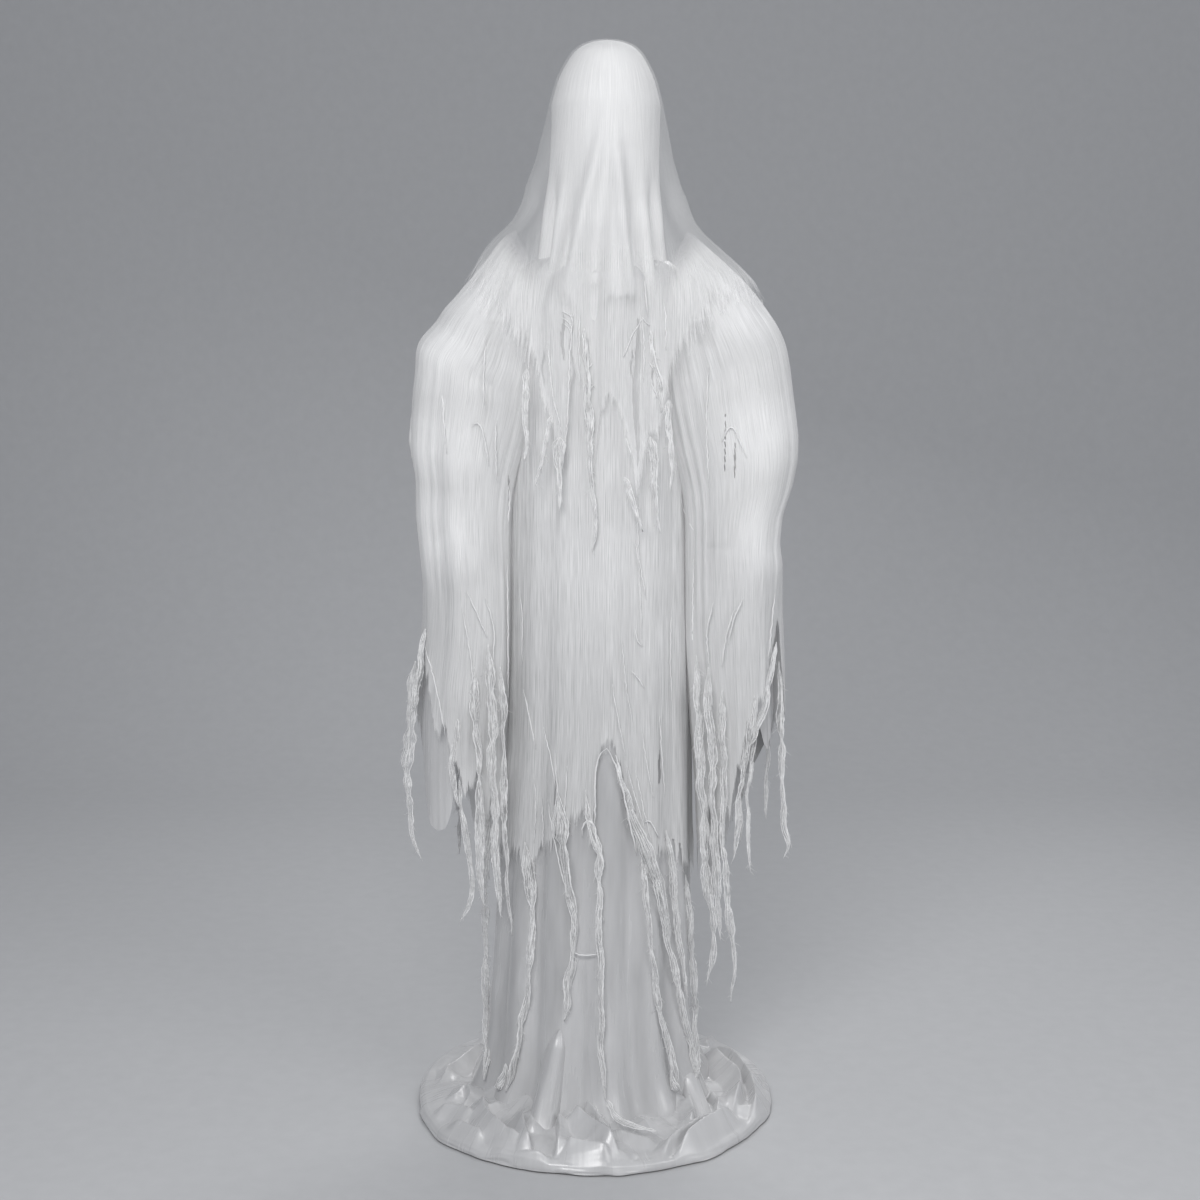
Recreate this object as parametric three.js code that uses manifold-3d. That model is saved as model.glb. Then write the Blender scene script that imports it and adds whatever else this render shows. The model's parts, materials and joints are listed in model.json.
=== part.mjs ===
// A life size animated ghost: a draped figure on a round base, with a turning waist, a turning head
// and arms that lift. Millimetres, +Z up, front towards -Y, origin on the floor under the pole.
import * as THREE from 'three';
import { mergeVertices } from 'three/addons/utils/BufferGeometryUtils.js';
import Module from 'manifold-3d';

const wasm = await Module();
wasm.setup();

// Heights that drive the rest: the pole's top, the arm shaft above it, and the crown above that
const POLE_TOP = 950;
const SHOULDER_RISE = 410;
const CROWN_RISE = 470;
const SHOULDER_Z = POLE_TOP + SHOULDER_RISE;
const HEIGHT = SHOULDER_Z + CROWN_RISE;

// Clearances and the number of sides on round pieces
const SEAT_GAP = 0.3;
const RUN_GAP = 3;
const CLOTH_GAP = 0.6;
const CLOTH_WALL = 2.4;
const ROUND_SIDES = 20;
const SMALL_SIDES = 10;

// Base
const BASE_RADIUS = 300;
const BASE_THICKNESS = 16;
const BASE_SIDES = 36;
const BASE_HEM_LIFT = 2;
const BASE_CLOTH_OVERHANG = 14;
const BASE_CLOTH_SHIFT = -11;

// Pole
const POLE_RADIUS = 16;
const POLE_WALL = 2;
const POLE_SPLIT = 490;
const SPIGOT_LENGTH = 50;
const FLANGE_RADIUS = 50;
const FLANGE_THICKNESS = 4;
const SOCKET_HEIGHT = 60;
const SOCKET_WALL = 3;
const FLANGE_SCREWS = 4;
const SCREW_CIRCLE = 36;
const SCREW_RADIUS = 2.5;
const SCREW_HEAD_RADIUS = 5;
const SCREW_HEAD_HEIGHT = 3;
const SCREW_LENGTH = 14;
const COUPLING_LENGTH = 60;

// Gears and gear motors
const GEAR_MODULE = 3;
const GEAR_WIDTH = 8;
const PRESSURE_ANGLE = THREE.MathUtils.degToRad(25);
const ADDENDUM = 0.8 * GEAR_MODULE;
const DEDENDUM = 1.05 * GEAR_MODULE;
const BACKLASH = 0.7;
const PINION_TEETH = 14;
const WAIST_TEETH = 42;
const HEAD_TEETH = 28;
const ARM_TEETH = 28;
const WAIST_SECTOR_TEETH = 9;
const SECTOR_TEETH = 9;
const MOTOR_SHAFT_RADIUS = 3;
const MOTOR_WIDTH = 34;
const MOTOR_BOX_HEIGHT = 26;
const MOTOR_CAN_RADIUS = 12;
const MOTOR_CAN_LENGTH = 30;
const MOTOR_BORE_DEPTH = 12;

// Waist
const WAIST_PLATE_THICKNESS = 4;
const WAIST_PLATE_RADIUS = 50;
const WAIST_LOBE_RADIUS = 24;
const WAIST_WASHER_THICKNESS = 4;
const WAIST_WASHER_RADIUS = 30;
const WAIST_HUB_RADIUS = 45;
const WAIST_HUB_FLANGE = 5;
const WAIST_SOCKET_HEIGHT = 45;
const WAIST_PIN_RADIUS = 6;
const SPINE_RADIUS = 14;

// Chest
const FRAME_WIDTH = 178;
const FRAME_DEPTH = 50;
const FRAME_WALL = 4;
const FRAME_BOTTOM = SHOULDER_Z - 110;
const FRAME_TOP = SHOULDER_Z + 40;
const ARM_SHAFT_RADIUS = 8;
const ARM_SHAFT_HALF = 186;
const ARM_GEAR_X = 30;
const CHEST_WALL = 2.5;
const CHEST_RIB_HEIGHT = 30;

// Head and neck
const NECK_RADIUS = 10;
const NECK_WALL = 2;
const NECK_BOTTOM = FRAME_TOP - 18;
const BUSHING_WALL = 3.5;
const BUSHING_FLANGE = 2;
const HEAD_BOTTOM = HEIGHT - 285;
const HEAD_NECK_HALF = 58;
const HEAD_SHIFT = 5;
const HEAD_WALL = 2.5;
const HEAD_FLANGE_LIFT = 5;
const HEAD_FLANGE_THICKNESS = 4;
const HEAD_LIGHT_RADIUS = 25;
const HEAD_LIGHT_HEIGHT = 16;
const NECK_TOP = HEAD_BOTTOM + 55;
const VEIL_RIM = SHOULDER_Z + 144;

// Arms
const SLEEVE_NECK_X = 164;
const SLEEVE_INNER_X = 166;
const HUB_INNER = SLEEVE_NECK_X + 0.5;
const HUB_OUTER = HUB_INNER + 29.5;
const HUB_DEPTH = 28;
const HUB_DROP = 27;
const HUB_RISE = 16;
const ARM_TUBE_RADIUS = 10;
const ARM_TUBE_WALL = 2;
const ARM_TOP_X = 178;
const ARM_TOP_DROP = 15;
const WRIST_X = 240;
const WRIST_Z = SHOULDER_Z - 410;
const ARM_LIGHT_HEIGHT = 14;
const ARM_LIGHT_RADIUS = 20;

// Control box behind the skirt
const BOX_WIDTH = 120;
const BOX_DEPTH = 60;
const BOX_HEIGHT = 34;
const BOX_WALL = 2.5;
const BOX_EDGE = 18;
const BOX_FLOOR = 2;
const BOARD_THICKNESS = 1.6;
const BOARD_MARGIN = 4;
const KNOB_X = -44;
const KNOB_RADIUS = 9;
const KNOB_HEIGHT = 10;
const KNOB_SHAFT_RADIUS = 3;
const BUTTON_X = -20;
const BUTTON_RADIUS = 6;
const BUTTON_PROUD = 3.5;
const BUTTON_CHAMFER = 0.8;
const SWITCH_X = 2;
const SWITCH_STEM = 3;
const SWITCH_TRAVEL = 6;
const SWITCH_CAP = 8;
const SPEAKER_X = 34;
const SPEAKER_RADIUS = 18;
const SPEAKER_HEIGHT = 12;
const GRILLE_SLITS = 5;
const GRILLE_PITCH = 6;
const GRILLE_SLIT_WIDTH = 2.5;
const JACK_WIDTH = 16;
const JACK_DEPTH = 12;
const JACK_HEIGHT = 18;
const JACK_BORE_RADIUS = 3.2;
const JACK_BORE_DEPTH = 9;
const JACK_BORE_Z = 30;

// Heights that follow
const BASE_CLOTH_TOP = BASE_THICKNESS + SEAT_GAP + CLOTH_WALL;
const BOX_BOTTOM = BASE_THICKNESS + SEAT_GAP;
const BOX_TOP = BOX_BOTTOM + BOX_HEIGHT;
const BOX_BACK = BASE_RADIUS - BOX_EDGE;
const BOX_Y = BOX_BACK - BOX_DEPTH / 2;
const PLATE_BOTTOM = POLE_TOP + SEAT_GAP;
const PLATE_TOP = PLATE_BOTTOM + WAIST_PLATE_THICKNESS;
const WASHER_BOTTOM = PLATE_TOP + SEAT_GAP;
const HUB_BOTTOM = WASHER_BOTTOM + WAIST_WASHER_THICKNESS + SEAT_GAP;
const HUB_FLANGE_TOP = HUB_BOTTOM + WAIST_HUB_FLANGE;
const WAIST_GEAR_BOTTOM = HUB_FLANGE_TOP + SEAT_GAP;
const WAIST_SPLIT = WAIST_GEAR_BOTTOM + GEAR_WIDTH + RUN_GAP;
const WAIST_CENTRES = GEAR_MODULE * (WAIST_TEETH + PINION_TEETH) / 2;
const HEAD_CENTRES = GEAR_MODULE * (HEAD_TEETH + PINION_TEETH) / 2;
const ARM_CENTRES = GEAR_MODULE * (ARM_TEETH + PINION_TEETH) / 2;
const HEAD_GEAR_BOTTOM = FRAME_TOP + SEAT_GAP + BUSHING_FLANGE + SEAT_GAP;
const ARM_PINION_Z = SHOULDER_Z - ARM_CENTRES;
const HEAD_FLANGE_BOTTOM = HEAD_BOTTOM + HEAD_FLANGE_LIFT;

const MATERIALS = {
  satin: { color: 0xdcdcdc, roughness: 0.35, metalness: 0 },
  gauze: { color: 0xeeeeee, roughness: 0.9, metalness: 0 },
  padding: { color: 0xf4f4f4, roughness: 1, metalness: 0 },
  board: { color: 0x8f7a5c, roughness: 0.8, metalness: 0 },
  steel: { color: 0x8d9094, roughness: 0.4, metalness: 1 },
  blackSteel: { color: 0x1c1c1e, roughness: 0.5, metalness: 0.6 },
  shell: { color: 0xe8e8e4, roughness: 0.5, metalness: 0 },
  blackPlastic: { color: 0x202022, roughness: 0.6, metalness: 0 },
  gearPlastic: { color: 0xd9d6c8, roughness: 0.5, metalness: 0 },
  lens: { color: 0xf6fbff, roughness: 0.2, metalness: 0 },
  circuit: { color: 0x1f5c3a, roughness: 0.5, metalness: 0.1 },
};

// Solids

function corners(geometry) {
  const bare = geometry.clone();
  bare.deleteAttribute('normal');
  bare.deleteAttribute('uv');
  const merged = mergeVertices(bare, 1e-4);
  const position = merged.getAttribute('position');
  const index = [];
  for (let i = 0; i < merged.index.count; i += 3) {
    const [a, b, c] = [0, 1, 2].map((k) => merged.index.getX(i + k));
    if (a !== b && b !== c && a !== c) index.push(a, b, c);
  }
  return { points: Float32Array.from(position.array), index };
}

function volume({ points, index }) {
  const at = (i) => new THREE.Vector3().fromArray(points, 3 * i);
  let sum = 0;
  for (let i = 0; i < index.length; i += 3) {
    sum += at(index[i]).dot(at(index[i + 1]).cross(at(index[i + 2])));
  }
  return sum / 6;
}

function toGeometry(points, index) {
  const geometry = new THREE.BufferGeometry();
  geometry.setAttribute('position', new THREE.BufferAttribute(Float32Array.from(points), 3));
  geometry.setIndex(Array.from(index));
  return geometry;
}

// One closed surface with merged corners and its faces pointing out
function closed(geometry) {
  const surface = corners(geometry);
  if (volume(surface) < 0) {
    for (let i = 0; i < surface.index.length; i += 3) {
      [surface.index[i], surface.index[i + 1]] = [surface.index[i + 1], surface.index[i]];
    }
  }
  return toGeometry(surface.points, surface.index);
}

function toSolid(geometry) {
  const surface = closed(geometry);
  return new wasm.Manifold(new wasm.Mesh({
    numProp: 3,
    vertProperties: surface.getAttribute('position').array,
    triVerts: Uint32Array.from(surface.index.array),
  }));
}

function fromSolid(solid) {
  const mesh = solid.getMesh();
  return toGeometry(mesh.vertProperties, mesh.triVerts);
}

function join(...geometries) {
  return fromSolid(geometries.map(toSolid).reduce((whole, piece) => whole.add(piece)));
}

function cut(geometry, ...tools) {
  return fromSolid(tools.map(toSolid).reduce((whole, tool) => whole.subtract(tool), toSolid(geometry)));
}

function common(first, second) {
  return fromSolid(toSolid(first).intersect(toSolid(second)));
}

// A profile of [radius, height] points turned round the Z axis
function turned(profile, sides = ROUND_SIDES) {
  const points = profile.map(([radius, height]) => new THREE.Vector2(radius, height));
  return closed(new THREE.LatheGeometry(points, sides).rotateX(Math.PI / 2));
}

function disc(radius, height, sides = ROUND_SIDES) {
  const geometry = new THREE.CylinderGeometry(radius, radius, height, sides);
  return closed(geometry.rotateX(Math.PI / 2).translate(0, 0, height / 2));
}

function pipe(outer, inner, height, sides = ROUND_SIDES) {
  return turned([[inner, 0], [outer, 0], [outer, height], [inner, height], [inner, 0]], sides);
}

function block(width, depth, height) {
  return closed(new THREE.BoxGeometry(width, depth, height).translate(0, 0, height / 2));
}

function extruded(shape, depth, curveSegments = ROUND_SIDES / 2) {
  return closed(new THREE.ExtrudeGeometry(shape, { depth, bevelEnabled: false, curveSegments }));
}

// A skin between two stacks of rings that have the same number of points.
// wrap is false for a half shell, whose two long edges are closed as well.
function skin(outer, inner, wrap = true) {
  const rows = outer.length;
  const columns = outer[0].length;
  const points = [...outer.flat(), ...inner.flat()].flat();
  const index = [];
  const quad = (a, b, c, d) => index.push(a, b, c, a, c, d);
  const out = (row, column) => row * columns + (column % columns);
  const back = (row, column) => rows * columns + out(row, column);
  const spans = wrap ? columns : columns - 1;
  for (let column = 0; column < spans; column += 1) {
    for (let row = 0; row < rows - 1; row += 1) {
      quad(out(row, column), out(row, column + 1), out(row + 1, column + 1), out(row + 1, column));
      quad(back(row, column), back(row + 1, column), back(row + 1, column + 1), back(row, column + 1));
    }
    quad(out(0, column), back(0, column), back(0, column + 1), out(0, column + 1));
    const last = rows - 1;
    quad(out(last, column), out(last, column + 1), back(last, column + 1), back(last, column));
  }
  if (!wrap) {
    for (let row = 0; row < rows - 1; row += 1) {
      quad(out(row, 0), out(row + 1, 0), back(row + 1, 0), back(row, 0));
      const side = columns - 1;
      quad(out(row, side), back(row, side), back(row + 1, side), out(row + 1, side));
    }
  }
  return closed(toGeometry(points, index));
}

// Straight lines between the rows of a table whose first column is the height
function between(table, z) {
  const rows = [...table].sort((a, b) => a[0] - b[0]);
  if (z <= rows[0][0]) return rows[0].slice(1);
  for (let i = 1; i < rows.length; i += 1) {
    if (z <= rows[i][0]) {
      const share = (z - rows[i - 1][0]) / (rows[i][0] - rows[i - 1][0]);
      return rows[i].slice(1).map((value, k) => THREE.MathUtils.lerp(rows[i - 1][k + 1], value, share));
    }
  }
  return rows.at(-1).slice(1);
}

function heights(table) {
  return table.map((row) => row[0]);
}

// A point at an angle in degrees, 0 at the front and 90 at the figure's +X side
function around(angle, width, depth, z, shift = 0) {
  const turn = THREE.MathUtils.degToRad(angle);
  return [shift + width * Math.sin(turn), -depth * Math.cos(turn), z];
}

function angles(columns, from = -180, span = 360, wrap = true) {
  return Array.from({ length: columns }, (_, i) => from + span * i / (wrap ? columns : columns - 1));
}

function wave(angle, count, phase = 0) {
  return Math.cos(THREE.MathUtils.degToRad(count * angle + phase));
}

// The height of a torn hem: a level edge with pointed shreds and openings.
// Each mark is [angle, drop, half width]; a shred drops below the level and an opening rises above it.
function tornHem(angle, level, marks) {
  let z = level;
  for (const [at, drop, half] of marks) {
    const away = Math.abs(((angle - at + 540) % 360) - 180) / half;
    if (away < 1) z = THREE.MathUtils.lerp(level - drop, z, away);
  }
  return z;
}

// Gears

function involute(angle) {
  return Math.tan(angle) - angle;
}

// Half the angle that a tooth takes up at a radius
function toothHalfAngle(teeth, radius) {
  const pitch = GEAR_MODULE * teeth / 2;
  const base = pitch * Math.cos(PRESSURE_ANGLE);
  const atPitch = (Math.PI * GEAR_MODULE - BACKLASH) / (4 * pitch);
  const flank = Math.acos(Math.min(1, base / Math.max(base, radius)));
  return atPitch + involute(PRESSURE_ANGLE) - involute(flank);
}

// A toothed wheel, or a sector of one on a round hub, with a tooth at the angle given
function gear({ teeth, toothed = teeth, tooth = 0, bore = 0, hub = 0 }) {
  const pitch = GEAR_MODULE * teeth / 2;
  const radii = [pitch - DEDENDUM, pitch, pitch + ADDENDUM];
  const shape = new THREE.Shape();
  const points = [];
  const put = (radius, angle) => points.push([radius * Math.cos(angle), radius * Math.sin(angle)]);
  const first = -Math.floor((toothed - 1) / 2);
  const step = 2 * Math.PI / teeth;
  for (let i = 0; i < toothed; i += 1) {
    const centre = tooth + (first + i) * step;
    radii.forEach((radius) => put(radius, centre - toothHalfAngle(teeth, radius)));
    [...radii].reverse().forEach((radius) => put(radius, centre + toothHalfAngle(teeth, radius)));
  }
  if (toothed < teeth) {
    const end = tooth + (first + toothed - 0.5) * step;
    const open = 2 * Math.PI - toothed * step;
    for (let i = 0; i <= SMALL_SIDES; i += 1) put(hub, end + open * i / SMALL_SIDES);
  }
  points.forEach(([x, y], i) => (i ? shape.lineTo(x, y) : shape.moveTo(x, y)));
  shape.closePath();
  if (bore) {
    const hole = new THREE.Path();
    hole.absarc(0, 0, bore, 0, 2 * Math.PI, true);
    shape.holes.push(hole);
  }
  return extruded(shape, GEAR_WIDTH, SMALL_SIDES);
}

// A pinion with a gap on the side of the wheel that it drives, and the motor shaft below it
function pinionWithShaft(towards, shaftLength) {
  const wheel = gear({ teeth: PINION_TEETH, tooth: towards + Math.PI / PINION_TEETH });
  const shaft = disc(MOTOR_SHAFT_RADIUS, shaftLength + GEAR_WIDTH / 2, SMALL_SIDES);
  return join(wheel, shaft.translate(0, 0, -shaftLength));
}

// A gear motor whose top face is at zero, with its shaft bore there
function gearMotor() {
  const box = block(MOTOR_WIDTH, MOTOR_WIDTH, MOTOR_BOX_HEIGHT).translate(0, 0, -MOTOR_BOX_HEIGHT);
  const can = disc(MOTOR_CAN_RADIUS, MOTOR_CAN_LENGTH + 1, SMALL_SIDES);
  can.translate(0, 0, -MOTOR_BOX_HEIGHT - MOTOR_CAN_LENGTH);
  const bore = disc(MOTOR_SHAFT_RADIUS + SEAT_GAP, MOTOR_BORE_DEPTH + 1, SMALL_SIDES);
  return cut(join(box, can), bore.translate(0, 0, -MOTOR_BORE_DEPTH));
}

// Base and pole

function basePlate() {
  const plate = disc(BASE_RADIUS, BASE_THICKNESS, BASE_SIDES);
  const bottom = BASE_THICKNESS - SCREW_LENGTH + 1;
  const holes = screwPlaces().map(([x, y]) => (
    disc(SCREW_RADIUS + SEAT_GAP, SCREW_LENGTH + 1, SMALL_SIDES).translate(x, y, bottom)
  ));
  return cut(plate, ...holes);
}

function screwPlaces() {
  return angles(FLANGE_SCREWS, 45).map((angle) => around(angle, SCREW_CIRCLE, SCREW_CIRCLE, 0));
}

function poleSocket() {
  const bore = POLE_RADIUS + SEAT_GAP;
  const bottom = BASE_THICKNESS + SEAT_GAP;
  const top = bottom + SOCKET_HEIGHT;
  const flangeTop = bottom + FLANGE_THICKNESS;
  const socket = turned([
    [0, bottom], [FLANGE_RADIUS, bottom], [FLANGE_RADIUS, flangeTop], [bore + SOCKET_WALL, flangeTop],
    [bore + SOCKET_WALL, top], [bore, top], [bore, flangeTop], [0, flangeTop],
  ]);
  const holes = screwPlaces().map(([x, y]) => (
    disc(SCREW_RADIUS + SEAT_GAP, FLANGE_THICKNESS + 2, SMALL_SIDES).translate(x, y, bottom - 1)
  ));
  return cut(socket, ...holes);
}

function flangeScrew() {
  const seat = BASE_THICKNESS + SEAT_GAP + FLANGE_THICKNESS + SEAT_GAP;
  const tip = seat - SCREW_LENGTH;
  return turned([
    [0, tip], [SCREW_RADIUS, tip], [SCREW_RADIUS, seat], [SCREW_HEAD_RADIUS, seat],
    [SCREW_HEAD_RADIUS * 0.7, seat + SCREW_HEAD_HEIGHT], [0, seat + SCREW_HEAD_HEIGHT],
  ], SMALL_SIDES);
}

function lowerPole() {
  const bottom = BASE_THICKNESS + SEAT_GAP + FLANGE_THICKNESS + SEAT_GAP;
  return pipe(POLE_RADIUS, POLE_RADIUS - POLE_WALL, POLE_SPLIT - bottom).translate(0, 0, bottom);
}

function upperPole() {
  const inside = POLE_RADIUS - POLE_WALL;
  const spigot = inside - SEAT_GAP;
  const bottom = POLE_SPLIT + SEAT_GAP;
  return turned([
    [spigot - POLE_WALL, bottom - SPIGOT_LENGTH], [spigot, bottom - SPIGOT_LENGTH], [spigot, bottom],
    [POLE_RADIUS, bottom], [POLE_RADIUS, POLE_TOP], [inside, POLE_TOP],
    [inside, bottom + 2 * POLE_WALL], [spigot - POLE_WALL, bottom],
    [spigot - POLE_WALL, bottom - SPIGOT_LENGTH],
  ]);
}

function poleCoupling() {
  const bore = POLE_RADIUS + SEAT_GAP;
  const ring = pipe(bore + SOCKET_WALL, bore, COUPLING_LENGTH);
  ring.translate(0, 0, POLE_SPLIT - COUPLING_LENGTH / 2);
  return cut(ring, couplingHole(SCREW_RADIUS + SEAT_GAP));
}

function couplingHole(radius) {
  const drill = disc(radius, 3 * POLE_RADIUS, SMALL_SIDES).rotateX(-Math.PI / 2);
  return drill.translate(0, POLE_RADIUS / 2, POLE_SPLIT + COUPLING_LENGTH / 4);
}

function couplingScrew() {
  const face = POLE_RADIUS + SEAT_GAP + SOCKET_WALL + SEAT_GAP;
  const screw = turned([
    [0, POLE_RADIUS + SEAT_GAP], [SCREW_RADIUS, POLE_RADIUS + SEAT_GAP], [SCREW_RADIUS, face],
    [SCREW_HEAD_RADIUS, face], [SCREW_HEAD_RADIUS, face + SCREW_HEAD_HEIGHT], [0, face + SCREW_HEAD_HEIGHT],
  ], SMALL_SIDES);
  return screw.rotateX(-Math.PI / 2).translate(0, 0, POLE_SPLIT + COUPLING_LENGTH / 4);
}

// Waist

function waistPlate() {
  const lean = Math.acos((WAIST_PLATE_RADIUS - WAIST_LOBE_RADIUS) / WAIST_CENTRES);
  const up = Math.PI / 2;
  const shape = new THREE.Shape();
  shape.absarc(0, 0, WAIST_PLATE_RADIUS, up + lean, up - lean + 2 * Math.PI);
  shape.absarc(0, WAIST_CENTRES, WAIST_LOBE_RADIUS, up - lean, up + lean);
  const plate = extruded(shape, WAIST_PLATE_THICKNESS).translate(0, 0, PLATE_BOTTOM);
  const spigot = POLE_RADIUS - POLE_WALL - SEAT_GAP;
  const stub = disc(spigot, SPIGOT_LENGTH / 2 + 1).translate(0, 0, PLATE_BOTTOM - SPIGOT_LENGTH / 2);
  const pinHole = disc(WAIST_PIN_RADIUS + SEAT_GAP, 2 * SPIGOT_LENGTH);
  pinHole.translate(0, 0, POLE_TOP - SPIGOT_LENGTH);
  const shaftHole = disc(MOTOR_SHAFT_RADIUS + 1, 2 * SPIGOT_LENGTH, SMALL_SIDES);
  shaftHole.translate(0, WAIST_CENTRES, POLE_TOP - SPIGOT_LENGTH);
  return cut(join(plate, stub), pinHole, shaftHole);
}

function waistWasher() {
  const bore = WAIST_PIN_RADIUS + SEAT_GAP;
  return pipe(WAIST_WASHER_RADIUS, bore, WAIST_WASHER_THICKNESS).translate(0, 0, WASHER_BOTTOM);
}

function waistHub() {
  const bore = SPINE_RADIUS + SEAT_GAP;
  const outer = bore + 2 * SOCKET_WALL;
  const top = HUB_FLANGE_TOP + WAIST_SOCKET_HEIGHT;
  const pinEnd = POLE_TOP - SPIGOT_LENGTH / 4;
  return turned([
    [0, pinEnd], [WAIST_PIN_RADIUS, pinEnd], [WAIST_PIN_RADIUS, HUB_BOTTOM], [WAIST_HUB_RADIUS, HUB_BOTTOM],
    [WAIST_HUB_RADIUS, HUB_FLANGE_TOP], [outer, HUB_FLANGE_TOP], [outer, top], [bore, top],
    [bore, HUB_FLANGE_TOP], [0, HUB_FLANGE_TOP],
  ]);
}

function waistGear() {
  const bore = SPINE_RADIUS + SEAT_GAP + 2 * SOCKET_WALL + SEAT_GAP;
  const wheel = gear({
    teeth: WAIST_TEETH, toothed: WAIST_SECTOR_TEETH, tooth: Math.PI / 2, bore, hub: bore + 2 * SOCKET_WALL,
  });
  return wheel.translate(0, 0, WAIST_GEAR_BOTTOM);
}

function waistPinion() {
  const shaft = WAIST_GEAR_BOTTOM - POLE_TOP + MOTOR_BORE_DEPTH - 2 * SEAT_GAP;
  return pinionWithShaft(-Math.PI / 2, shaft).translate(0, WAIST_CENTRES, WAIST_GEAR_BOTTOM);
}

function waistGearMotor() {
  return gearMotor().translate(0, WAIST_CENTRES, POLE_TOP);
}

function spineTube() {
  const bottom = HUB_FLANGE_TOP + SEAT_GAP;
  const length = FRAME_BOTTOM - SEAT_GAP - bottom;
  return pipe(SPINE_RADIUS, SPINE_RADIUS - POLE_WALL, length).translate(0, 0, bottom);
}

// Chest

function torsoFrame() {
  const plates = [FRAME_BOTTOM, FRAME_TOP - FRAME_WALL].map((z) => (
    block(FRAME_WIDTH, FRAME_DEPTH, FRAME_WALL).translate(0, 0, z)
  ));
  const sideHeight = FRAME_TOP - FRAME_BOTTOM;
  const sideX = (FRAME_WIDTH - FRAME_WALL) / 2;
  const sides = [-1, 1].map((side) => (
    block(FRAME_WALL, FRAME_DEPTH, sideHeight).translate(side * sideX, 0, FRAME_BOTTOM)
  ));
  const tongueDepth = HEAD_CENTRES + MOTOR_WIDTH / 2 - 4;
  const tongue = block(MOTOR_WIDTH, tongueDepth, FRAME_WALL);
  tongue.translate(0, tongueDepth / 2, FRAME_TOP - FRAME_WALL);
  const socketBore = SPINE_RADIUS + SEAT_GAP;
  const socket = pipe(socketBore + SOCKET_WALL, socketBore, WAIST_SOCKET_HEIGHT / 2 + 1);
  socket.translate(0, 0, FRAME_BOTTOM - WAIST_SOCKET_HEIGHT / 2);
  const shaftHole = disc(ARM_SHAFT_RADIUS + SEAT_GAP, 2 * FRAME_WIDTH);
  shaftHole.rotateY(Math.PI / 2).translate(-FRAME_WIDTH, 0, SHOULDER_Z);
  const neckHole = disc(NECK_RADIUS + BUSHING_WALL + 2 * SEAT_GAP, 3 * FRAME_WALL);
  neckHole.translate(0, 0, FRAME_TOP - 2 * FRAME_WALL);
  const pinionHole = disc(MOTOR_SHAFT_RADIUS + 1, 3 * FRAME_WALL, SMALL_SIDES);
  pinionHole.translate(0, HEAD_CENTRES, FRAME_TOP - 2 * FRAME_WALL);
  return cut(join(...plates, ...sides, tongue, socket), shaftHole, neckHole, pinionHole);
}

function neckBushing() {
  const bore = NECK_RADIUS + SEAT_GAP;
  const outer = bore + BUSHING_WALL;
  const seat = FRAME_TOP + SEAT_GAP;
  const bottom = FRAME_TOP - FRAME_WALL;
  return turned([
    [bore, bottom], [outer - SEAT_GAP, bottom], [outer - SEAT_GAP, seat], [outer + BUSHING_WALL, seat],
    [outer + BUSHING_WALL, seat + BUSHING_FLANGE], [bore, seat + BUSHING_FLANGE], [bore, bottom],
  ]);
}

function headGearMotor() {
  return gearMotor().translate(0, HEAD_CENTRES, FRAME_TOP - FRAME_WALL - SEAT_GAP);
}

function headPinion() {
  const shaft = HEAD_GEAR_BOTTOM - FRAME_TOP + FRAME_WALL + MOTOR_BORE_DEPTH - SEAT_GAP;
  return pinionWithShaft(-Math.PI / 2, shaft).translate(0, HEAD_CENTRES, HEAD_GEAR_BOTTOM);
}

// The arm drive is drawn upright and laid along X, so that its own +X side faces down
function alongX(geometry, x, z) {
  return geometry.rotateY(Math.PI / 2).translate(x, 0, z);
}

function armPinion() {
  const shaft = ARM_GEAR_X - armMotorFace() + MOTOR_BORE_DEPTH - SEAT_GAP;
  return alongX(pinionWithShaft(Math.PI, shaft), ARM_GEAR_X, ARM_PINION_Z);
}

function armMotorFace() {
  return ARM_GEAR_X - RUN_GAP;
}

function armGearMotor() {
  const motor = alongX(gearMotor(), armMotorFace(), ARM_PINION_Z);
  const footTop = ARM_PINION_Z - MOTOR_WIDTH / 2 + 1;
  const footBottom = FRAME_BOTTOM + FRAME_WALL + SEAT_GAP;
  const foot = block(MOTOR_BOX_HEIGHT - 2, MOTOR_WIDTH - 4, footTop - footBottom);
  foot.translate(armMotorFace() - MOTOR_BOX_HEIGHT / 2, 0, footBottom);
  return join(motor, foot);
}

// Rows from a table whose heights are counted from a level
function raised(rows, level) {
  return rows.map(([z, ...rest]) => [level + z, ...rest]);
}

// Rows of the chest shell: height above the arm shaft, half width, half depth
const CHEST_ROWS = raised([
  [108, 56, 52], [80, 112, 84], [40, 136, 99], [-20, 141, 101], [-100, 136, 97], [-180, 128, 90],
], SHOULDER_Z);

// A half shell, and the same half filled up to the Y = 0 plane.
// Each row has its height, half width and half depth.
function halfShell(rows, side, wall, shift, dropTop) {
  const list = angles(SMALL_SIDES + 1, side < 0 ? -90 : 90, 180, false);
  const point = (angle, width, depth, z) => {
    const [x, y] = around(angle, width, depth, z, shift);
    return [x, side * Math.max(SEAT_GAP / 2, side * y), z];
  };
  const ring = (inset) => rows.map(([z, width, depth], row) => list.map((angle) => {
    const drop = row === 0 && dropTop ? inset : 0;
    return point(angle, Math.max(0, width - inset), Math.max(0, depth - inset), z - drop);
  }));
  const axis = rows.map(([z]) => list.map(() => [shift, side * SEAT_GAP / 2, z]));
  return { shell: skin(ring(0), ring(wall), false), filled: skin(ring(0), axis, false) };
}

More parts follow.
